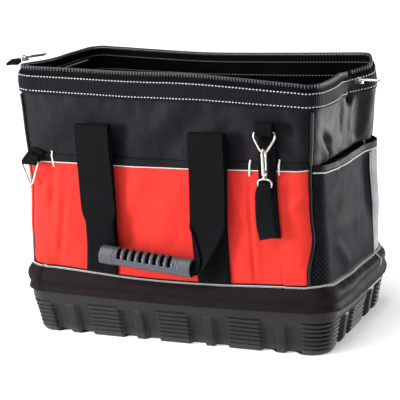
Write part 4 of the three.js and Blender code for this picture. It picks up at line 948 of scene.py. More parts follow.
def make_base():
    cols = base_columns()
    n = len(cols)
    zz = np.concatenate([np.linspace(0, 3, 5)[:-1], np.linspace(3, 46, 70)[:-1], np.linspace(46, 64, 14)])
    Z = np.broadcast_to(zz[None, :], (n, len(zz))).copy()
    w0, d0, r0 = look(T_BASE, Z)
    w0[:, 0], d0[:, 0] = 213.2, 117.2
    ex, ey = w0 - r0, d0 - r0
    X, Y, NX, NY = (np.zeros_like(Z) for _ in range(4))
    raised = np.zeros_like(Z)      # 1 on blocks, ribs and corner blocks
    block = np.zeros_like(Z)       # 1 where the grooves run
    dip = np.zeros_like(Z)
    for i, (wall, v) in enumerate(cols):
        if wall in ("front", "back", "right", "left"):
            F = FRONT_FEATS if wall in ("front", "back") else SIDE_FEATS
            p = np.array([v])
            b = float(bumps(p, F["blocks"])[0])
            r = float(bumps(p, F["ribs"])[0])
            c = float(smoothstep((abs(v) - F["half"]) / 1.5 + 0.5))
            raised[i], block[i] = max(b, r, c), max(b, c)
            if wall == "front": X[i], Y[i], NY[i] = v / EX_T * ex[i], -d0[i], -1
            elif wall == "back": X[i], Y[i], NY[i] = -v / EX_T * ex[i], d0[i], 1
            elif wall == "right": X[i], Y[i], NX[i] = w0[i], v / EY_T * ey[i], 1
            else: X[i], Y[i], NX[i] = -w0[i], -v / EY_T * ey[i], -1
            if wall in ("right", "left"):
                dip[i] = -5 * math.cos(min(1, abs(v) / 100) * math.pi / 2) ** 2
        else:
            raised[i] = block[i] = 1
            cx, cy, a0 = {"cfr": (1, -1, -90), "cbr": (1, 1, 0), "cbl": (-1, 1, 90), "cfl": (-1, -1, 180)}[wall]
            a = math.radians(a0 + v)
            NX[i], NY[i] = math.cos(a), math.sin(a)
            X[i], Y[i] = cx * ex[i] + r0[i] * NX[i], cy * ey[i] + r0[i] * NY[i]
    # height of the top edge of the blocks: level on the long sides, lower on the short ones
    top = 46.0
    rise = 1 - smoothstep((Z - top + 1.6) / 2.6)                   # 1 below the top edge
    wall_depth = 4.6 + 3.6 * (1 - np.clip(Z / 46, 0, 1)) - 3.3 * smoothstep((Z - 34) / 14)             # the plain wall comes out to the border
    depth = wall_depth * (1 - raised * rise) + 0.15 * raised * rise
    # grooves in the blocks: soft ridges between narrow grooves, whose faces are painted near-black as shade
    pitch = 6.15
    g = np.abs(np.mod(Z - 45.4 + pitch / 2, pitch) - pitch / 2)
    line = np.exp(-(g / 0.80) ** 4)
    groove = line * 2.6 + 0.5 * np.exp(-(g / 1.7) ** 2)
    inset = smoothstep((Z - 2.5) / 2.0) * (1 - smoothstep((Z - 45.9) / 0.8))
    depth = depth + groove * block * inset
    # the groove faces that get the near-black rubber: painted shade
    painted_shade = line * block * inset
    # a light bevel along the top of each rib
    only_rib = raised * (1 - block)
    depth += 1.6 * only_rib * smoothstep((Z - 39.5) / 5.5) * rise
    # a raised lip runs round the top of the base
    lip = smoothstep((Z - 47.2) / 1.4)
    depth = depth * (1 - lip) + 1.3 * lip
    depth += 0.10 * value_noise(np.arange(n)[:, None] * 1.9 + 0 * Z, Z, 40, 30, 77)
    X -= NX * depth
    Y -= NY * depth
    ramp = np.clip((1 - np.abs(Z - 46.5) / 17) * 1.2, 0, 1)
    P = np.stack([X, Y, Z + dip * ramp], -1)
    # turned-in top edge and closed underside
    c = np.array([0, 0, 0])
    ring = P[:, -1]
    inn = ring - np.stack([NX[:, 0], NY[:, 0], 0 * NX[:, 0]], 1) * 4.5
    low = P[:, 0]
    under = [low * np.array([k, k, 1]) + np.array([0, 0, dz]) for k, dz in ((0.996, -0.0), (0.985, 0.0), (0.965, 0.6), (0.93, 0.6), (0.8, 0.6), (0.5, 0.6), (0.06, 0.6))]
    G = np.concatenate([np.stack(under[::-1], 1), P, inn[:, None]], 1)
    F, ci, cj = grid_faces(n, G.shape[1], True, False)
    # faces in the grooves take the second, near-black rubber: painted shade
    shade_mark = np.zeros(G.shape[:2])
    shade_mark[:, len(under):len(under) + P.shape[1]] = painted_shade
    fm = (shade_mark.reshape(-1)[F].mean(1) > 0.55).astype(int)
    per = np.concatenate([[0], np.cumsum(np.linalg.norm(np.diff(np.concatenate([P[:, 60], P[:1, 60]]), axis=0), axis=1))])
    up_ = np.concatenate([[0], np.cumsum(np.linalg.norm(np.diff(G[10], axis=0), axis=1))])
    build("moulded_base", G.reshape(-1, 3), F, np.stack([per[ci], up_[cj]], -1), [M_RUBBER, M_RUBBER_SHADE], fmat=fm, node="rubber_base", slot="rubber")


make_base()


# ------------------------------------------------------------------ body cloth
def make_body():
    U = np.linspace(-184, -184 + PERIM, 290)
    s = s_of(U[:-1])
    zo = np.concatenate([np.linspace(10, 60, 6)[:-1], np.linspace(60, 354, 76)])
    zi = np.concatenate([np.linspace(354, 60, 76), np.linspace(60, 8, 8)[1:]])
    O = S(s[:, None] + 0 * zo[None], zo[None, :] + 0 * s[:, None], 0.0)
    I = S(s[:, None] + 0 * zi[None], zi[None, :] + 0 * s[:, None], -1.8)
    last = I[:, -1]
    floor = [last * np.array([k, k, 1]) + np.array([0, 0, -dz]) for k, dz in ((0.99, 0.5), (0.97, 0.9), (0.9, 1.0), (0.75, 1.0), (0.5, 1.0), (0.25, 1.0), (0.02, 1.0))]
    G = np.concatenate([O, I, np.stack(floor, 1)], 1)
    F, ci, cj = grid_faces(len(s), G.shape[1], True, False)
    Vc = np.concatenate([[0], np.cumsum(np.linalg.norm(np.diff(G[5], axis=0), axis=1))])
    fm = (cj[:, 0] >= O.shape[1] - 1).astype(int)
    build("body_cloth", G.reshape(-1, 3), F, np.stack([U[ci], Vc[cj]], -1), [M_BLACK, M_LINING], fmat=fm,
          node="body_shell", slot="black_cloth", fix=False)


make_body()


# padded band over the shoulder of the base
def make_band():
    U = np.linspace(-184, -184 + PERIM, 420)
    s = s_of(U[:-1])
    hem = np.maximum(around(np.array(HEM, float), s), 49.0)
    up = s[:, None]

    def rows(side):
        o = lambda a, b: b if side else a
        lip = shoulder(s, hem, o(0.5, 1.2))
        skirt = [lip, shoulder(s, hem * 0.75 + 64.4 * 0.25, o(0.5, 2.3)), shoulder(s, hem * 0.35 + 64.4 * 0.65, o(0.5, 3.0))]
        k = 1.0
        upper = [S(s, 0 * s + z, off) for z, off in ((72, o(1.4, 3.8)), (80, o(1.3, 4.2)), (89, o(1.2, 3.6)), (96, o(1.2, 2.9)), (100.5, o(1.0, 1.8)))]
        return np.stack(skirt + upper, 1)
    outer, inner = rows(True), rows(False)
    nv = 30
    Od = np.stack([catmull(outer[i], nv) for i in range(len(s))])
    Id = np.stack([catmull(inner[i], nv) for i in range(len(s))])
    v = np.linspace(0, 1, nv)[None, :]
    Uc = u_of(s)[:, None]
    pad = 0.8 * np.sin(np.pi * v) ** 0.8
    pad = pad + 0.85 * value_noise(Uc + 0 * v, 40 * v, 40, 22, 31, 0.8) * np.sin(np.pi * v)
    pad = pad + 0.45 * np.sin(Uc / 3.6 + 1.5 * value_noise(Uc + 0 * v, 40 * v, 24, 40, 33)) * np.exp(-((1 - v) / 0.16) ** 2)
    pad = pad + 0.40 * np.abs(value_noise(Uc + 0 * v, 60 * v, 14, 30, 35, 0.5)) * np.exp(-((v - 0.12) / 0.16) ** 2)
    dP = np.gradient(Od, axis=0)
    dV = np.gradient(Od, axis=1)
    N = np.cross(dP, dV)
    N /= np.linalg.norm(N, axis=-1, keepdims=True)
    Od = Od + N * pad[..., None]
    G = np.concatenate([Od, Id[:, ::-1]], 1)
    F, ci, cj = grid_faces(len(s), G.shape[1], True, True)
    Vc = np.linspace(0, 100, G.shape[1] + 1)
    o = build("base_band_pad", G.reshape(-1, 3), F, np.stack([U[ci], Vc[cj]], -1), M_BAND, node="base_band", slot="black_cloth")
    return Od


band_outer = make_band()

# piping along the top of the band
hug("base_piping_cord", 0, 52, 2.4, round_profile(102.6, 2.3, 0.55), M_WHITE, wrap=True, node="base_piping", slot="white_cord")
sew("white", 0, 52, 101.3, 3.0, pitch=3.0, length=1.9, r=0.40, tilt=0.25, seed=3)

# ------------------------------------------------------------------ pockets
SEAM = {"fl": 50.0, "fr": 14.0, "br": 24.0, "bl": 40.0}
GAP = 0.30
X_STRAP = {"left": -99.5, "right": 67.0}
KX = 148.5


def puff(spans, amp):
    """Outward crown of the cloth between sewn edges, for the front wall's x; spans are (x0, x1, share)."""
    def f(s, z):
        U = u_of(s)
        out = np.zeros_like(U)
        for a, b, k in spans:
            t = np.clip((U - a) / (b - a), 0, 1)
            out = np.maximum(out, k * np.sin(np.pi * t) ** 0.75)
        zt = np.clip((z - 106) / (247 - 106), 0, 1)
        return amp * out * (np.sin(np.pi * zt ** 0.72) ** 0.7)
    return f


front_spans = [(-206, -125, 1.0), (-74, 42, 1.25), (93, 136, 0.8), (161, 206, 0.9)]
back_spans = [(626 + a, 626 + b, k) for a, b, k in front_spans]
for side, s0, s1, spans in (("front", SEAM["fl"] - 52 + GAP, SEAM["fr"] - GAP, front_spans),
                            ("back", SEAM["br"] + GAP, SEAM["bl"] - GAP, back_spans)):
    panel = hug(side + "_pocket_cloth", s0, s1, 2.6, slab_profile(105.5, 247.2, 0.6, 2.2, 2.6), M_RED, offadd=puff(spans, 3.0),
        node=side + "_pocket", slot="red_cloth")
    hug(side + "_pocket_edge", s0, s1, 3.0, slab_profile(247.4, 257.0, 0.6, 3.2, 1.6, r=1.3), M_BIND,
        node=side + "_pocket_binding", slot="black_cloth")
    hug(side + "_pocket_cord", s0, s1, 3.0, round_profile(246.6, 3.5, 0.72), M_WHITE,
        node=side + "_pocket_piping", slot="white_cord")
    sew("black", s0, s1, 249.4, 3.3, pitch=3.2, length=2.3, r=0.35, seed=5)


def pouch(depth, s0, s1):
    def f(s, z):
        t = np.clip((s - s0) / (s1 - s0), 0, 1)
        upz = np.clip((z - 106.4) / 60, 0, 1)
        return depth * np.sin(np.pi * t) ** 0.8 * upz ** 0.8
    return f


r0_, r1_ = SEAM["fr"] + GAP, SEAM["br"] - GAP
l0_, l1_ = SEAM["bl"] + GAP, SEAM["fl"] - GAP
pr, pl = pouch(12.0, r0_, r1_), pouch(9.0, l0_, l1_)
net = hug("side_net", r0_, r1_, 2.6, slab_profile(105.5, 243.2, 0.8, 1.8, 2.6), M_NET, offadd=pr, node="right_pocket_mesh", slot="mesh_cloth")
hug("side_net_edge", r0_, r1_, 2.6, slab_profile(243.4, 252.4, 0.6, 3.2, 1.6, r=1.3), M_BIND, offadd=pr, node="right_pocket_binding", slot="black_cloth")
hug("side_net_cord", r0_, r1_, 2.6, round_profile(242.2, 3.0, 0.9), M_WHITE, offadd=pr, node="right_pocket_piping", slot="white_cord")
red = hug("side_red", l0_, l1_, 2.6, slab_profile(105.5, 243.2, 0.8, 2.4, 2.6), M_RED, offadd=pl, node="left_pocket", slot="red_cloth")
hug("side_red_edge", l0_, l1_, 2.6, slab_profile(243.4, 252.4, 0.6, 3.2, 1.6, r=1.3), M_BIND, offadd=pl, node="left_pocket_binding", slot="black_cloth")
hug("side_red_cord", l0_, l1_, 2.6, round_profile(242.2, 3.2, 0.9), M_WHITE, offadd=pl, node="left_pocket_piping", slot="white_cord")


# corded corner seams
def seam_tube(s, z0, z1, off, r, step=3.0, sides=10):
    z = np.arange(z0, z1 + 0.1, step)
    P = S(np.full_like(z, s), z, off)
    return tube(P, r, sides)


for key, s in SEAM.items():
    V, F, UV = seam_tube(s, 104.5, 329, 2.0, 1.9)
    build("corner_cord_" + key, V, F, UV, M_CORD, node="corner_piping_" + key, slot="black_cord")
white_seams = Bag()
for q, pz in ((21.4, pr), (41.7, pl)):
    z = np.arange(104, 331, 3.0)
    zq = np.full_like(z, q)
    o = np.where(z < 243, 2.5 + pz(zq, z), 3.1)
    o = np.convolve(np.pad(o, 2, mode="edge"), np.ones(5) / 5, "valid")
    low_part = z < 256
    white_seams.add(*tube(S(zq, z, o)[low_part], 0.95, 8))
    z = np.linspace(66, 101, 12)
    white_seams.add(*tube(S(np.full_like(z, q), z, 5.0 - 1.6 * (np.abs(z - 80) / 22) ** 2), 0.95, 8))
white_seams.build("corner_white_cords", M_WHITE, slot="white_cord")
for q, name, pz in ((21.45, "right", pr), (41.15, "left", pl)):
    hug("seam_tape_" + name, q, q + 0.5, 1.4, slab_profile(106, 241, 2.2, 2.9, 3.0, r=0.3), M_NET_GREY, offadd=pz, slot="mesh_cloth")

# rear ends of the side band have a light cord along their lower hem
hem_cord = Bag()
for a, b in ((19.6, 21.4), (41.7, 44.4)):
    ss = np.linspace(a, b, 40)
    hz = np.maximum(around(np.array(HEM, float), ss), 49.0) + 0.6
    hem_cord.add(*tube(shoulder(ss, hz, 2.6), 0.85, 8))
hem_cord.build("band_hem_cords", M_WHITE, slot="white_cord")

# ------------------------------------------------------------------ rim
hug("rim_fold", 0, 52, 3.0, round_profile(357.6, 0.9, 1.2, 8), M_TAPE, wrap=True, slot="webbing")
hug("rim_webbing", 0, 52, 2.6, slab_profile(330, 356, 0.5, 2.2, 2.4, r=0.85), M_WEB_U, wrap=True, node="rim_band", slot="webbing")
hug("rim_facing", 0, 52, 4.0, slab_profile(331, 356, -3.4, -2.2, 5.0, r=0.5), M_LINING, wrap=True, slot="webbing")
SR, SL = float(at("right", 0.79)), float(at("cfl", 0.10))
ranges = (("front", SL - 52 + 0.12, SR - 0.12), ("back", SR + 0.12, SL - 0.12))
teeth_u = 4.0
for side, a, b in ranges:
    hug("zip_tape_" + side + "_cloth", a, b, 2.6, slab_profile(353.0, 364.6, -1.5, 0.2, 2.0, r=0.8), M_TAPE, node="zip_tape_" + side, slot="webbing")
    coil = Bag()
    P, U, Vc = hug_points(a, b, 2.4, round_profile(366.3, -0.8, 1.25, 8))
    V, F, UV = loft(P, U, Vc)
    coil.add(V, F, UV, 1)
    # teeth: small blocks set on the edge of the tape
    u = np.arange(float(u_of(a)) + 1, float(u_of(b)) - 1, teeth_u)
    ss = s_of(u)
    for inner in (0, 1):
        zc = np.full_like(ss, 364.6)
        off = -2.0 if inner else 0.35
        C = S(ss, zc, off)
        Nn = normal_at(ss, zc, off) * (-1 if inner else 1)
        Tz = S(ss, zc + 1.0, off) - S(ss, zc - 1.0, off)
        T = Tz / np.linalg.norm(Tz, axis=1, keepdims=True)
        Nn = Nn - T * np.sum(Nn * T, 1, keepdims=True)
        Nn /= np.linalg.norm(Nn, axis=1, keepdims=True)
        B = np.cross(Nn, T)
        k = len(CAP_V)
        V = (C[:, None, :] + CAP_V[None, :, 0:1] * 4.6 * T[:, None, :] + CAP_V[None, :, 1:2] * 0.78 * B[:, None, :]
             + CAP_V[None, :, 2:3] * 0.7 * Nn[:, None, :])
        F = (CAP_F[None] + (np.arange(len(C)) * k)[:, None, None]).reshape(-1, 4)
        coil.add(V.reshape(-1, 3), F, None, 0)
    coil.build("zip_teeth_" + side, [M_TEETH, M_TOOTH_BASE], node="zip_coil_" + side, slot="zip_coil")

for inward, off, key in ((False, 2.35, "white"), (True, -3.55, "grey")):
    sew(key, 0, 52, 353.8, off, pitch=4.7, length=2.5, r=0.68 if not inward else 0.5, tilt=0.14, inward=inward, seed=11)
    sew(key, 0, 52, 334.2, off, pitch=4.7, length=2.5, r=0.66 if not inward else 0.5, tilt=0.14, inward=inward, seed=12)

hug("mouth_seam_left", 42.4, 47.0, 3.0, round_profile(350.0, -4.4, 0.8), M_WHITE, slot="white_cord")

# ------------------------------------------------------------------ sewn webbing on the walls
def strip(name, side, x, width, z0, z1, o0, o1, mat, node, lean=0.0):
    xs = x if side == "front" else -x
    sgn = 1 if side == "front" else -1
    a, b = station_of(side, xs - sgn * width / 2), station_of(side, xs + sgn * width / 2)
    P, U, Vc = hug_points(a, b, width / 12, slab_profile(z0, z1, o0, o1, 3.0, r=0.6))
    if lean:
        low = smoothstep((250 - P[..., 2]) / 130)
        mid = (P[..., 0].min() + P[..., 0].max()) / 2
        P[..., 0] += low * (lean - (P[..., 0] - mid) * 0.09)
    V, F, UV = loft(P, U, Vc)
    build(name, V, F, UV, mat, node=node, slot="webbing")


sign_ = {"front": 1, "back": -1}
for key, x in X_STRAP.items():
    for side in ("front", "back"):
        strip(f"strip_{side}_{key}", side, x, 50, 105.0, 288, 3.4, 4.9, M_WEB, f"strap_{side}_{key}", lean=sign_[side] * (4.5 if key == "left" else -2.5))
        xs = x if side == "front" else -x
        for e in (-22.5, 22.5):       # edge stitching
            q = station_of(side, xs + e)
            z = np.linspace(108, 284, 90)
            sq = np.full_like(z, q)
            sew_path("black", S(sq, z, 5.0), normal_at(sq, z, 5.0), pitch=3.4, length=2.4, r=0.34)

# ------------------------------------------------------------------ hanging handles
HANG = [
    [-99.5, -119.9, 287.6, 50, 1, 0, 0], [-99.4, -120.2, 296.0, 50, 1, 0, 0], [-99.0, -122.4, 300.6, 50, 1, 0, 0],
    [-98.4, -126.8, 302.0, 50, 1, 0, 0], [-97.9, -130.9, 299.6, 50, 1, 0, 0], [-97.6, -132.6, 293.0, 50, 1, 0, 0],
    [-96.8, -134.4, 262.0, 50, 1, 0, 0], [-95.4, -135.8, 230.0, 50, 1, 0.02, 0], [-93.8, -137.2, 200.0, 49, 1, 0.03, 0],
    [-92.2, -138.0, 184.0, 46, 1, 0.05, 0], [-90.4, -138.6, 170.0, 41, 1, 0.06, 0], [-87.6, -138.8, 158.0, 34, 1, 0.06, 0],
    [-84.6, -138.0, 149.0, 28, 1, 0.04, 0], [-82.6, -136.0, 142.0, 25, 1, 0.0, 0], [-81.6, -134.0, 136.8, 21, 0.98, 0, -0.1],
    [-81.0, -134.6, 131.6, 17, 0.9, 0.2, -0.2], [-77.0, -139.0, 128.2, 16, 0.4, 0.35, 0.7],
    [-66.0, -143.0, 125.6, 16, 0, 0.3, 0.95], [-24.5, -143.0, 122.0, 16, 0, 0.3, 0.95], [40.0, -143.0, 116.5, 16, 0, 0.3, 0.95],
    [47.6, -143.0, 116.2, 16, 0, 0.35, 0.94], [53.0, -143.0, 119.4, 17, -0.3, 0.45, 0.8], [56.4, -142.6, 127.0, 20, -0.8, 0.35, 0.4],
    [59.2, -141.6, 138.0, 26, -1, 0.2, 0.1], [62.6, -140.6, 151.0, 34, -1, 0.10, 0], [65.8, -139.6, 166.0, 43, -1, 0.05, 0],
    [67.6, -138.6, 182.0, 49, -1, 0.02, 0], [68.2, -137.8, 200.0, 50, -1, 0.0, 0],
    [68.4, -136.2, 228.0, 50, -1, 0, 0], [68.6, -134.4, 258.0, 50, -1, 0, 0], [68.2, -132.6, 286.0, 50, -1, 0, 0],
    [68.0, -130.9, 292.6, 50, -1, 0, 0], [67.8, -126.8, 295.2, 50, -1, 0, 0], [67.4, -122.4, 294.0, 50, -1, 0, 0],
    [67.1, -120.2, 290.4, 50, -1, 0, 0], [67.0, -119.9, 286.8, 50, -1, 0, 0],
]


def folded(width, nw):
    """Mid-line across 50 mm webbing gathered to a narrower width: one edge turns over in front, the other behind."""
    f = max(0.0, (50.0 - width) / 2)
    alpha = math.radians(174) * float(smoothstep(np.array(f / 7.5)))
    m = 60
    l = np.linspace(0, 25, m)
    bend_at = max(0.5, width / 2 - 1.2)
    span_ = max(2.2, alpha * 1.35)
    head = alpha * smoothstep((l - bend_at) / span_)
    dl = l[1] - l[0]
    x = np.concatenate([[0], np.cumsum(np.cos(head[:-1]) * dl)])
    y = np.concatenate([[0], np.cumsum(np.sin(head[:-1]) * dl)])
    k = (nw + 1) // 2
    # points closer together round the bend
    want = np.unique(np.clip(np.concatenate([np.linspace(0, bend_at, k // 3 + 1), np.linspace(bend_at, min(25, bend_at + span_), k // 3 + 2),
                                             np.linspace(min(25, bend_at + span_), 25, 40)]), 0, 25))
    want = np.interp(np.linspace(0, 1, k), np.linspace(0, 1, 3 * (k // 3) + 0 if 3 * (k // 3) > 2 else 3),
                     np.concatenate([np.linspace(0, bend_at, k // 3, endpoint=False), np.linspace(bend_at, min(24.5, bend_at + span_), k // 3, endpoint=False),
                                     np.linspace(min(24.5, bend_at + span_), 25, k // 3)]))
    px, py = np.interp(want, l, x), np.interp(want, l, y)
    right_ = np.stack([px, py], 1)                # turns to the front
    left_ = np.stack([-px, -py], 1)[::-1]         # turns behind
    mid = np.concatenate([left_[:-1], right_])
    arc = np.concatenate([-want[::-1][:-1], want])
    return mid, arc


grip_a, grip_b = np.array([-88.7, -143.0, 127.48]), np.array([45.0, -143.0, 116.05])


def make_grip():
    axis = grip_b - grip_a
    length = np.linalg.norm(axis)
    axis = axis / length
    upf = np.array([0, -0.80, 0.60])
    upf = upf - axis * (upf @ axis)
    upf /= np.linalg.norm(upf)
    side = np.cross(axis, upf)
    nl, na = 230, 72
    l = np.unique(np.concatenate([np.linspace(0, 2.0, 7), np.linspace(2.0, length - 2.0, nl), np.linspace(length - 2.0, length, 7)]))
    th = np.linspace(-np.pi, np.pi, na, endpoint=False)
    Lg, Th = np.meshgrid(l, th, indexing="ij")
    R = np.full_like(Lg, 12.75)
    R -= 0.95 * (1 - np.clip(np.minimum(Lg, length - Lg) / 1.6, 0, 1)) ** 2
    # waist between the collars and a ring groove at each end of it
    R -= 0.5 * smoothstep((Lg - 21) / 3) * smoothstep((length - 19 - Lg) / 3)
    for g in (20.8, length - 19.0):
        R -= 0.75 * np.exp(-((Lg - g) / 0.7) ** 2)
    slot_depth = np.zeros_like(Lg)
    for k in range(8):
        c = 29.1 + k * 10.6 + 1.0 * np.sin(Th)
        inl = smoothstep((2.65 - np.abs(Lg - c)) / 0.7 + 0.5)
        ina = smoothstep((1.0 - np.abs(Th + 0.42)) / 0.12 + 0.5)
        slot_depth = np.maximum(slot_depth, inl * ina)
        R += 0.75 * np.exp(-((Lg - c - 5.3) / 1.9) ** 2) * ina * (Lg < length - 22)
    R -= 1.65 * slot_depth
    R += 1.4 * np.exp(-((Th - 1.25) / 0.16) ** 2) * smoothstep((8 - Lg) / 1.5)      # lug at the lower left end
    P = grip_a + Lg[..., None] * axis + R[..., None] * (np.cos(Th)[..., None] * upf + np.sin(Th)[..., None] * side)
    inner = []
    for ll in (length + 0.0, length - 1.0, length * 0.5, 1.0, 0.0):
        ri = 10.5 if 0.5 < ll < length - 0.5 else 11.2
        inner.append(grip_a + ll * axis + ri * (np.cos(th)[:, None] * upf + np.sin(th)[:, None] * side))
    G = np.concatenate([P, np.array(inner)])
    F, ci, cj = grid_faces(len(G), na, True, True)
    Uc = np.concatenate([l, length + np.linspace(1, length, 6)])
    Vc = np.linspace(0, 80, na + 1)
    # faces in the slots take the second, near-black material: painted shade
    painted_shade = np.zeros(len(G) * na, bool)
    painted_shade[: len(l) * na] = (slot_depth > 0.06).ravel()
    fm = painted_shade[F].all(1).astype(int)
    return G.reshape(-1, 3), F, np.stack([Uc[ci], Vc[cj]], -1), fm


grip = make_grip()
web_V, web_F, web_UV = strap(HANG, 1.5, step=2.6, nw=37, cross=folded)
web_path = even(catmull(HANG, len(HANG) * 14), 2.6)[:, :3]
turn = np.array([-1.0, -1.0, 1.0])
# the webbing has a slight wave as it hangs
sag = 0.8 * np.sin(web_V[:, 2] / 31.0 + 0.4) * smoothstep((web_V[:, 2] - 190) / 40) * smoothstep((290 - web_V[:, 2]) / 30)
web_V = web_V + np.stack([0 * sag, sag, 0 * sag], 1)
for side, k in (("front", np.ones(3)), ("back", turn)):
    web = build(f"handle_{side}_webbing", web_V * k, web_F, web_UV, M_WEB, node=f"handle_webbing_{side}", slot="webbing")
    build(f"handle_{side}_grip", grip[0] * k, grip[1], grip[2], [M_GRIP, M_SLOT_SHADE], fmat=grip[3], node=f"grip_{side}", slot="grip_plastic")

# ------------------------------------------------------------------ bar tacks
def tack(side, x0, z0, x1, z1, off=3.6):
    """A dense white satin bar between two points of the front or back wall."""
    n = 26
    t = np.linspace(0, 1, n)
    x, z = x0 + (x1 - x0) * t, z0 + (z1 - z0) * t
    s = np.array([station_of(side, v, 250.0) for v in x])
    # above the pocket's edge the bar lies on the body cloth
    o = np.where(z > 257, 1.6, off + 0.4)
    o = np.convolve(np.pad(o, 2, mode="edge"), np.ones(5) / 5, "valid")
    P = S(s, z, o)
    N = normal_at(s, z, o)
    T = np.gradient(P, axis=0)
    T /= np.linalg.norm(T, axis=1, keepdims=True)
    B = np.cross(N, T) + T * 0.25
    put_stitches("white", P, B, N, np.full(n, 2.6), 0.52, flat=0.95)


for side, k in (("front", 1), ("back", -1)):
    tack(side, k * -163.1, 260.6, k * -161.6, 240.6)
    tack(side, k * 123.7, 259.8, k * 122.7, 239.6)
    tack(side, k * 164.4, 262.0, k * 164.1, 242.0)

# ------------------------------------------------------------------ key keeper
strip("keeper_strip_webbing", "front", KX, 25, 162, 292, 3.4, 4.9, M_WEB, "keeper_strip")
y0 = -117.6
LOOP = [[KX, y0 - 1.5, 290.6], [KX + 0.2, y0 - 1.9, 304], [KX + 0.3, y0 - 3.6, 309.4], [KX + 0.4, y0 - 7.4, 311.4],
        [KX + 0.5, y0 - 11.4, 309.0], [KX + 0.5, y0 - 12.8, 303], [KX + 0.4, y0 - 12.4, 297.0], [KX + 0.4, y0 - 9.8, 294.0],
        [KX + 0.4, y0 - 6.6, 294.4], [KX + 0.4, y0 - 5.2, 297.6], [KX + 0.3, y0 - 5.0, 303.4]]
V, F, UV = strap([r + [24.6, 1, 0, 0] for r in LOOP], 1.4, step=1.2)
build("keeper_loop_webbing", V, F, UV, M_WEB, node="keeper_loop", slot="webbing")
ry = y0 - 8.9
RING = rounded([(KX - 13.8, ry, 298.6), (KX - 14.8, ry - 0.6, 292), (KX - 3.4, ry - 5.4, 274.0), (KX + 4.0, ry - 5.4, 274.0),
                (KX + 15.0, ry - 0.6, 292), (KX + 14.0, ry, 298.6)], 3.4, 6)
V, F, UV = tube(even(RING, 1.2, True), 1.45, 14, closed=True)
build("keeper_ring_wire", V, F, UV, M_METAL, node="keeper_ring", slot="nickel")

hx, hy = KX + 0.3, -131.5
hook = Bag()
shank = [(hx, hy - 6.0, 247.6), (hx, hy - 6.2, 258), (hx, hy - 6.0, 272)]
for k in range(1, 9):
    a = math.pi * (1 - k / 8)
    shank.append((hx, hy - 0.4 + 5.6 * math.cos(a), 272 + 5.88 * math.sin(a)))
shank.append((hx, hy + 5.2, 266.5))
hook.add(*tube(even(catmull(shank, 90), 1.0), 1.8, 14))
hook.add(*tube(even(catmull([(hx, hy - 6.2, 251.5), (hx, hy - 5.0, 248.4), (hx, hy - 1.4, 246.8)], 20), 0.8), 2.0, 12))
# swivel barrel: a turned shape standing on the eye's pin
prof = [(0.2, 250.6), (1.6, 250.5), (2.6, 249.6), (3.7, 248.9), (4.1, 247.6), (4.1, 244.6), (3.4, 243.8), (2.6, 243.2), (3.2, 242.4), (3.5, 241.4), (2.8, 240.6), (0.2, 240.4)]
ang = np.linspace(0, 2 * np.pi, 20, endpoint=False)
rings = np.array([[(hx + r * math.cos(t), hy - 1.4 + r * math.sin(t), z) for t in ang] for r, z in prof])
hook.add(*loft(rings, wrap_u=False, wrap_v=True, cap=True))
hook.add(*tube(even([(hx, hy - 1.0, 247.0), (hx, hy + 4.4, 247.2)], 0.8), 1.5, 12))
hook.build("snap_hook_body", M_METAL, node="snap_hook", slot="nickel", angle=50)
lev = catmull([(hx, hy + 4.6, 248.4), (hx, hy + 5.0, 256), (hx, hy + 5.2, 265.6)], 30)
lever = Bag()
lever.add(*tube(lev, np.interp(np.linspace(0, 1, 30), [0, 0.3, 0.9, 1], [1.7, 1.3, 1.35, 1.2]), 14))
lever.add(*tube(even([(hx, hy + 5.4, 254.0), (hx, hy + 7.2, 255.6)], 0.6), 0.9, 10))
lever.build("snap_hook_lever", M_METAL, node="hook_lever", body="lever", slot="nickel")
EYE = rounded([(KX - 8.8, hy - 1.4, 228.6), (KX - 9.6, hy - 1.4, 236.4), (KX - 3.4, hy - 1.4, 239.1), (KX + 3.6, hy - 1.4, 239.1),
               (KX + 9.6, hy - 1.4, 236.4), (KX + 9.2, hy - 1.4, 228.6)], 3.6, 6)
V, F, UV = tube(even(EYE, 1.0, True), 1.35, 12, closed=True)
build("swivel_eye_wire", V, F, UV, M_METAL, node="swivel_eye", slot="nickel")
ys = hy - 1.4
KSTRAP = [
    [KX - 0.3, ys + 3.2, 216.0, 19.0, 0.96, -0.2, 0], [KX - 0.3, ys + 3.6, 224.0, 19.0, 0.98, -0.1, 0], [KX + 0.2, ys + 3.4, 230.0, 16.6, 1, 0, 0],
    [KX + 0.3, ys + 0.4, 232.6, 16.0, 1, 0, 0], [KX + 0.2, ys - 3.0, 230.0, 16.6, 1, 0, 0], [KX - 0.8, ys - 4.0, 222.0, 20.6, 0.95, 0.3, 0],
    [KX - 0.6, ys - 4.4, 205.0, 22.6, 0.95, 0.30, 0.02], [KX - 0.2, ys - 5.0, 190.0, 23.6, 0.96, 0.24, 0.06], [KX + 1.2, ys - 6.2, 176.0, 24.0, 0.95, 0.12, 0.22],
    [KX + 4.4, ys - 8.2, 163.0, 24.0, 0.88, 0.05, 0.46],
]


def bowed(width, nw):
    q = np.linspace(-0.5, 0.5, nw)
    return np.stack([q * width, (0.25 - q ** 2) * max(0.0, (25.0 - width)) * 0.55], 1), q * 25.0


V, F, UV = strap(KSTRAP, 1.5, step=1.6, nw=13, cross=bowed)
keeper_path = even(catmull(KSTRAP, len(KSTRAP) * 14), 1.6)[:, :3]
keeper = build("keeper_strap_webbing", V, F, UV, M_WEB_D, node="keeper_strap", slot="webbing")

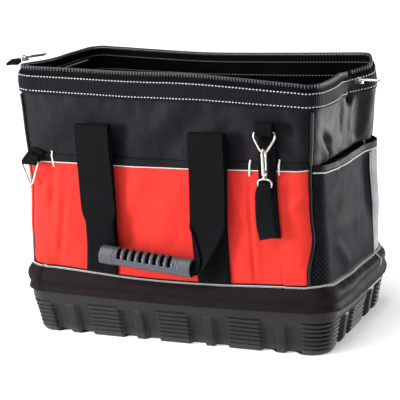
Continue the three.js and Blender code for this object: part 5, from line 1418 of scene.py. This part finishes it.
# ------------------------------------------------------------------ side ring
TAB = [[-189.5, -119.6, 263.0], [-191.5, -121.0, 258.5], [-194.5, -123.6, 252.5], [-197.0, -125.4, 248.4], [-198.4, -127.8, 245.4],
       [-198.8, -131.0, 244.4], [-198.3, -133.4, 246.2], [-197.0, -133.6, 249.6], [-194.6, -130.8, 254.2], [-192.6, -127.6, 258.0]]
V, F, UV = strap([r + [21.0, 0.99, 0.0, -0.06] for r in TAB], 1.5, step=1.2, nw=13)
build("ring_tab_webbing", V, F, UV, M_WEB, node="ring_tab", slot="webbing")
ry = -129.6
TRI = rounded([(-212.4, ry - 0.2, 248.4), (-201.4, ry + 0.4, 216.4), (-197.6, ry + 0.4, 216.2), (-184.4, ry - 0.6, 248.4)], 3.2, 7)
V, F, UV = tube(even(TRI, 1.2, True), 1.45, 14, closed=True)
build("side_ring_wire", V, F, UV, M_METAL, node="side_ring", slot="nickel")


# ------------------------------------------------------------------ zip sliders and pulls
def basis(origin, xdir, zdir):
    x = np.array(xdir, float); x /= np.linalg.norm(x)
    z = np.array(zdir, float); z -= x * (z @ x); z /= np.linalg.norm(z)
    return np.array(origin, float), np.stack([x, np.cross(z, x), z])


def placed(V, fr):
    return fr[0] + np.asarray(V) @ fr[1]


def slider_shape(fr):
    """Two rounded plates on a neck, with the bridge that holds the pull."""
    g = Bag()
    n = 36
    t = np.linspace(0, 2 * np.pi, n, endpoint=False)
    for z0, z1, k in ((0.0, 1.1, 1.0), (2.1, 3.2, 0.96)):
        taper = 1 - 0.16 * np.clip(-np.cos(t), 0, 1)
        x = 6.5 * np.sign(np.cos(t)) * np.abs(np.cos(t)) ** 0.6 * k
        y = 4.5 * np.sign(np.sin(t)) * np.abs(np.sin(t)) ** 0.55 * taper * k
        rr = []
        for z, q in ((z0, 0.3), (z0, 0.9), (z0 + 0.25, 1.0), (z1 - 0.25, 1.0), (z1, 0.9), (z1, 0.3)):
            rr.append(np.stack([x * q, y * q, np.full(n, z)], 1))
        V, F, UV = loft(np.array(rr), wrap_u=False, wrap_v=True, cap=True)
        g.add(placed(V, fr), F, UV)
    V, F, UV = tube(even([(4.4, 0, 0.8), (4.4, 0, 2.6)], 0.6), 1.5, 10); g.add(placed(V, fr), F, UV)
    arch = [(-math.cos(math.pi * k / 12) * 4.16, 0, 2.8 + math.sin(math.pi * k / 12) * 4.6) for k in range(13)]
    V, F, UV = tube(even(arch, 0.7), 0.85, 10); g.add(placed(V, fr), F, UV)
    return g


def pull_shape(length, width, r, fr):
    pts = rounded([(0, -2.6, 0), (5.5, -2.6, 0), (8.5, -width / 2, 0), (length, -width / 2, 0), (length, width / 2, 0),
                   (8.5, width / 2, 0), (5.5, 2.6, 0), (0, 2.6, 0)], 2.2, 5)
    V, F, UV = tube(even(pts, 0.9, True), r, 12, closed=True)
    return placed(V, fr), F, UV


lf = basis((-215.6, -91.5, 380.9), (0.50, 0.86, -0.01), (-0.30, 0.10, 0.95))
slider_shape(lf).build("slider_left", M_METAL, node="zip_slider_left", slot="nickel", angle=45)
lp = basis((-216.8373, -90.7287, 385.3681), (0.50, 0.86, -0.01), (-0.30, 0.10, 0.95))
V, F, UV = pull_shape(33, 9, 1.1, lp)
build("pull_left_wire", V, F, UV, M_METAL, node="zip_pull_left", body="pull_left", slot="nickel")
END = [[-219.4, -96.8, 380.9, 26, 0.22, 0.95, 0.12], [-222.6, -97.4, 380.9, 26, 0.22, 0.95, 0.12], [-226.5, -98.0, 380.7, 26, 0.22, 0.95, 0.12],
       [-231.0, -98.8, 380.3, 26, 0.22, 0.95, 0.12], [-235.4, -99.6, 379.9, 25, 0.22, 0.95, 0.12]]
V, F, UV = strap(END, 3.9, step=1.4, nw=9, edge=0.36)
build("zip_end_fold", V, F, UV, M_TAPE, node="zip_end_tab", slot="webbing")
rf = basis((217.1617, 49.638, 330.8), (0.998, -0.05, -0.02), (0.02, 0, 0.998))
slider_shape(rf).build("slider_right", M_METAL, node="zip_slider_right", slot="nickel", angle=45)
rp = basis((217.2558, 49.6383, 335.4991), (0.998, -0.05, -0.02), (0.02, 0, 0.998))
V, F, UV = pull_shape(31, 9, 1.1, rp)
build("pull_right_wire", V, F, UV, M_METAL, node="zip_pull_right", body="pull_right", slot="nickel")

# ------------------------------------------------------------------ thread
sewn["white"].build("thread_white", M_THREAD, slot="white_cord", fix=False)
sewn["grey"].build("thread_grey", M_GREY, slot="white_cord", fix=False)
sewn["black"].build("thread_black", M_CORD, slot="black_cord", fix=False)

# ------------------------------------------------------------------ stage
fm = Mat("floor_paper", rough=0.9, specular=0.1)
fn = fm.noise(fm.place(), 9.0, 3.0)
fm.b.inputs["Emission Color"].default_value = (1, 1, 1, 1)
fm.b.inputs["Emission Strength"].default_value = 0.30
fm.colour(fm.ramp(fn, [(0.0, (0.93, 0.93, 0.935)), (1.0, (0.95, 0.95, 0.955))]))
me = bpy.data.meshes.new("floor")
me.from_pydata([(-12, -8, 0), (12, -8, 0), (12, 20, 0), (-12, 20, 0)], [], [(0, 1, 2, 3)])
me.materials.append(fm.m)
floor = bpy.data.objects.new("floor", me)
bpy.context.scene.collection.objects.link(floor)

world = bpy.data.worlds.new("studio")
bpy.context.scene.world = world
world.use_nodes = True
bg = world.node_tree.nodes["Background"]
bg.inputs[0].default_value = (1.0, 1.0, 1.0, 1)
bg.inputs[1].default_value = 0.24


def softbox(name, loc, aim, size, power, colour=(1, 1, 1)):
    d = bpy.data.lights.new(name, "AREA")
    d.shape, d.size, d.size_y = "RECTANGLE", size[0], size[1]
    d.energy, d.color = power, colour
    o = bpy.data.objects.new(name, d)
    o.location = loc
    o.rotation_euler = (Vector(aim) - Vector(loc)).to_track_quat("-Z", "Y").to_euler()
    bpy.context.scene.collection.objects.link(o)
    return o


softbox("sheen", (-1.15, -1.05, 0.46), (-0.14, -0.1, 0.30), (0.5, 0.5), 24)
softbox("rim", (1.25, 1.35, 0.10), (0.2, 0.05, 0.03), (0.7, 0.25), 40)
sun = bpy.data.lights.new("sun", "SUN")
sun.energy, sun.angle = 3.0, math.radians(60)
so = bpy.data.objects.new("sun", sun)
so.rotation_euler = Vector((0.30, 0.46, -1.0)).to_track_quat("-Z", "Y").to_euler()
bpy.context.scene.collection.objects.link(so)

print("triangles", sum(counts.values()), {k: v for k, v in sorted(counts.items(), key=lambda x: -x[1])[:8]})
